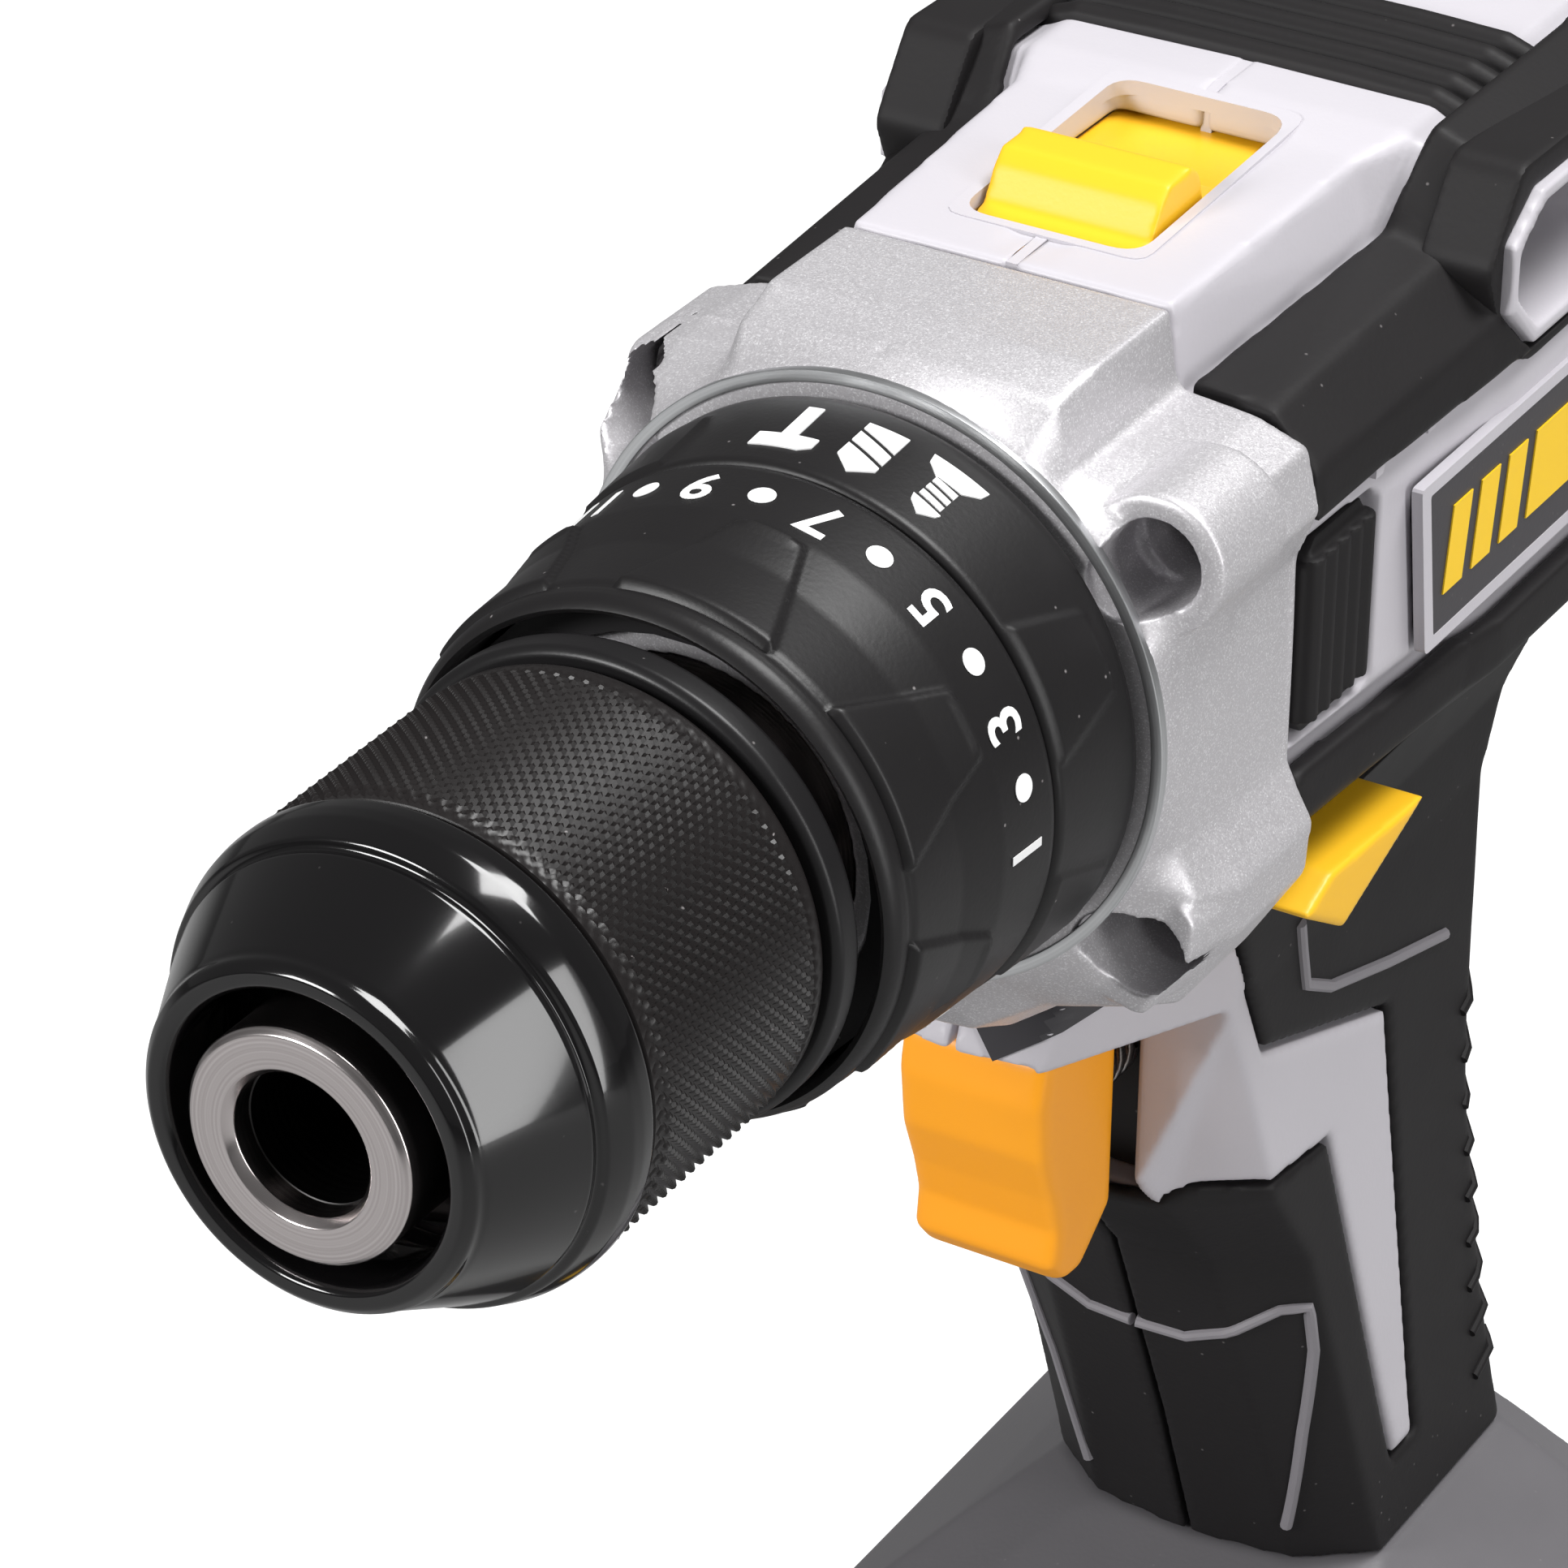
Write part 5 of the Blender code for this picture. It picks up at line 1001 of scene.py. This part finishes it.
# ---- Battery foot, pack and rear cap ------------------------------------------------
# The grip ends in a dark grey foot with rails that the battery slides on from the front.
# The pack is a black case and lid screwed round five cells, with a sprung latch button.

FOOT_GREY = moulding("foot_grey", (0.125, 0.12, 0.128), 0.45, 2200.0, 0.014, 0.1, 0.15)
PACK_BLACK = moulding("pack_black", (0.02, 0.019, 0.02), 0.48, 2200.0, 0.014, 0.1, 0.3)
recast("battery_foot", FOOT_GREY)
recast("battery_case", PACK_BLACK)
recast("battery_lid", PACK_BLACK)
recast("battery_latch", CONTROL_YELLOW, 0.3)
recast("rear_cap", PACK_BLACK)
CELL_WRAP = moulding("cell_wrap", (0.02, 0.14, 0.30), 0.3, 900.0, 0.003, 0.05, 0.0)
softened("battery_cells", CELL_WRAP, 0.1)
softened("terminal_block", PACK_BLACK, 0.15)
softened("switch_body", PACK_BLACK, 0.3)

# ---- Inside -------------------------------------------------------------------------
# Sintered steel gears run on a ground spindle inside a nylon case. Behind them is a
# motor in a plated can, with copper windings, a brass pinion and a plastic fan.

GEAR_STEEL = turned_metal("gear_steel", (0.42, 0.41, 0.40), (0.24, 0.23, 0.22), 0.5, 0.35)
NYLON = moulding("nylon", (0.62, 0.60, 0.55), 0.45, 2000.0, 0.01, 0.1, 0.0)
COPPER = turned_metal("copper", (0.80, 0.38, 0.20), (0.5, 0.2, 0.09), 0.4, 0.3)
MOTOR_PLATE = turned_metal("motor_plate", (0.86, 0.72, 0.62), (0.6, 0.5, 0.44), 0.7, 0.25)
BRASS = turned_metal("brass", (0.83, 0.60, 0.27), (0.55, 0.38, 0.15), 0.4, 0.25)
for node in ("output_ring_gear", "planet_carrier", "shift_ring_gear", "ratchet_turning", "ratchet_fixed"):
    softened(node, GEAR_STEEL, 0.1)
for number in (1, 2, 3):
    softened(f"output_planet_{number}", GEAR_STEEL, 0.08)
    softened(f"input_planet_{number}", GEAR_STEEL, 0.08)
for node in ("output_spindle", "front_bearing", "clutch_spring", "shift_yoke"):
    softened(node, NOSE_STEEL, 0.0 if "spring" in node or "yoke" in node else 0.12, crease=40)
softened("gearbox_case", NYLON, 0.15)
softened("clutch_nut", PACK_BLACK, 0.15)
softened("motor_can", MOTOR_PLATE, 0.2)
softened("motor_end_cap", PACK_BLACK, 0.2)
softened("cooling_fan", PACK_BLACK, 0.1)
softened("motor_armature", COPPER, 0.15)
softened("motor_pinion", BRASS, 0.08)

# ---- Studio -------------------------------------------------------------------------
# A pale floor and a wide pale surround, soft overhead light and a long-lens camera.


FLOOR_GLOW = 0.78
ROOM_LIGHT = 0.16


def plain(name, colour, rough):
    made = bpy.data.materials.new(name)
    made.use_nodes = True
    shader = made.node_tree.nodes["Principled BSDF"]
    shader.inputs["Base Color"].default_value = (*colour, 1.0)
    shader.inputs["Roughness"].default_value = rough
    return made


form = bmesh.new()
bmesh.ops.create_grid(form, x_segments=1, y_segments=1, size=6.0)
floor_mesh = mesh_of(form)
FLOOR_PALE = plain("pale_floor", (0.34, 0.34, 0.34), 0.9)
floor_look = FLOOR_PALE.node_tree
floor_seen = floor_look.nodes.new("ShaderNodeLightPath").outputs["Is Camera Ray"]
glow = floor_look.nodes.new("ShaderNodeMath")
glow.operation = "MULTIPLY"
glow.inputs[1].default_value = FLOOR_GLOW
floor_look.links.new(floor_seen, glow.inputs[0])
floor_look.links.new(glow.outputs[0], floor_look.nodes["Principled BSDF"].inputs["Emission Strength"])
floor_look.nodes["Principled BSDF"].inputs["Emission Color"].default_value = (1.0, 1.0, 1.0, 1.0)
floor_mesh.materials.append(FLOOR_PALE)
floor = bpy.data.objects.new("floor", floor_mesh)
bpy.context.scene.collection.objects.link(floor)

world = bpy.data.worlds.new("studio")
bpy.context.scene.world = world
world.use_nodes = True
surround = world.node_tree
backing = surround.nodes["Background"]
backing.inputs["Color"].default_value = (1.0, 1.0, 1.0, 1.0)
seen = surround.nodes.new("ShaderNodeLightPath").outputs["Is Camera Ray"]
level = surround.nodes.new("ShaderNodeMapRange")
level.inputs["To Min"].default_value = ROOM_LIGHT
level.inputs["To Max"].default_value = 1.0
surround.links.new(seen, level.inputs["Value"])
surround.links.new(level.outputs["Result"], backing.inputs["Strength"])


def softbox(name, place, aim, width, height, power):
    light = bpy.data.lights.new(name, "AREA")
    light.shape = "RECTANGLE"
    light.size = width
    light.size_y = height
    light.energy = power
    built = bpy.data.objects.new(name, light)
    built.location = place
    built.rotation_euler = (Vector(aim) - Vector(place)).to_track_quat("-Z", "Y").to_euler()
    bpy.context.scene.collection.objects.link(built)


# The blacks throw back less of the lamps than bare plastic does.
for black in (POLISHED_BLACK, KNURL_BLACK, SATIN_BLACK, MATT_BLACK, SOFT_RUBBER, PACK_BLACK, PLATE_DARK):
    black.node_tree.nodes["Principled BSDF"].inputs["Specular IOR Level"].default_value = 0.3
softbox("top_softbox", (0.25, 0.15, 1.05), (0.0, -0.03, 0.17), 0.45, 0.45, 11.0)
softbox("front_softbox", (-0.45, -0.95, 0.60), (0.0, -0.08, 0.14), 0.35, 0.35, 10.0)
softbox("right_strip", (0.85, -0.20, 0.40), (0.0, -0.05, 0.15), 0.2, 0.8, 4.0)

camera_data = bpy.data.cameras.new("camera")
camera_data.lens = 152.3
camera_data.sensor_width = 36.0
camera = bpy.data.objects.new("camera", camera_data)
camera.matrix_world = Matrix((
    (0.8588, -0.2626, 0.4399, 0.20566),
    (0.5123, 0.4251, -0.7462, -0.42033),
    (0.0090, 0.8662, 0.4996, 0.40567),
    (0.0, 0.0, 0.0, 1.0),
))
bpy.context.scene.collection.objects.link(camera)
bpy.context.scene.camera = camera
bpy.context.scene.view_settings.view_transform = "Standard"
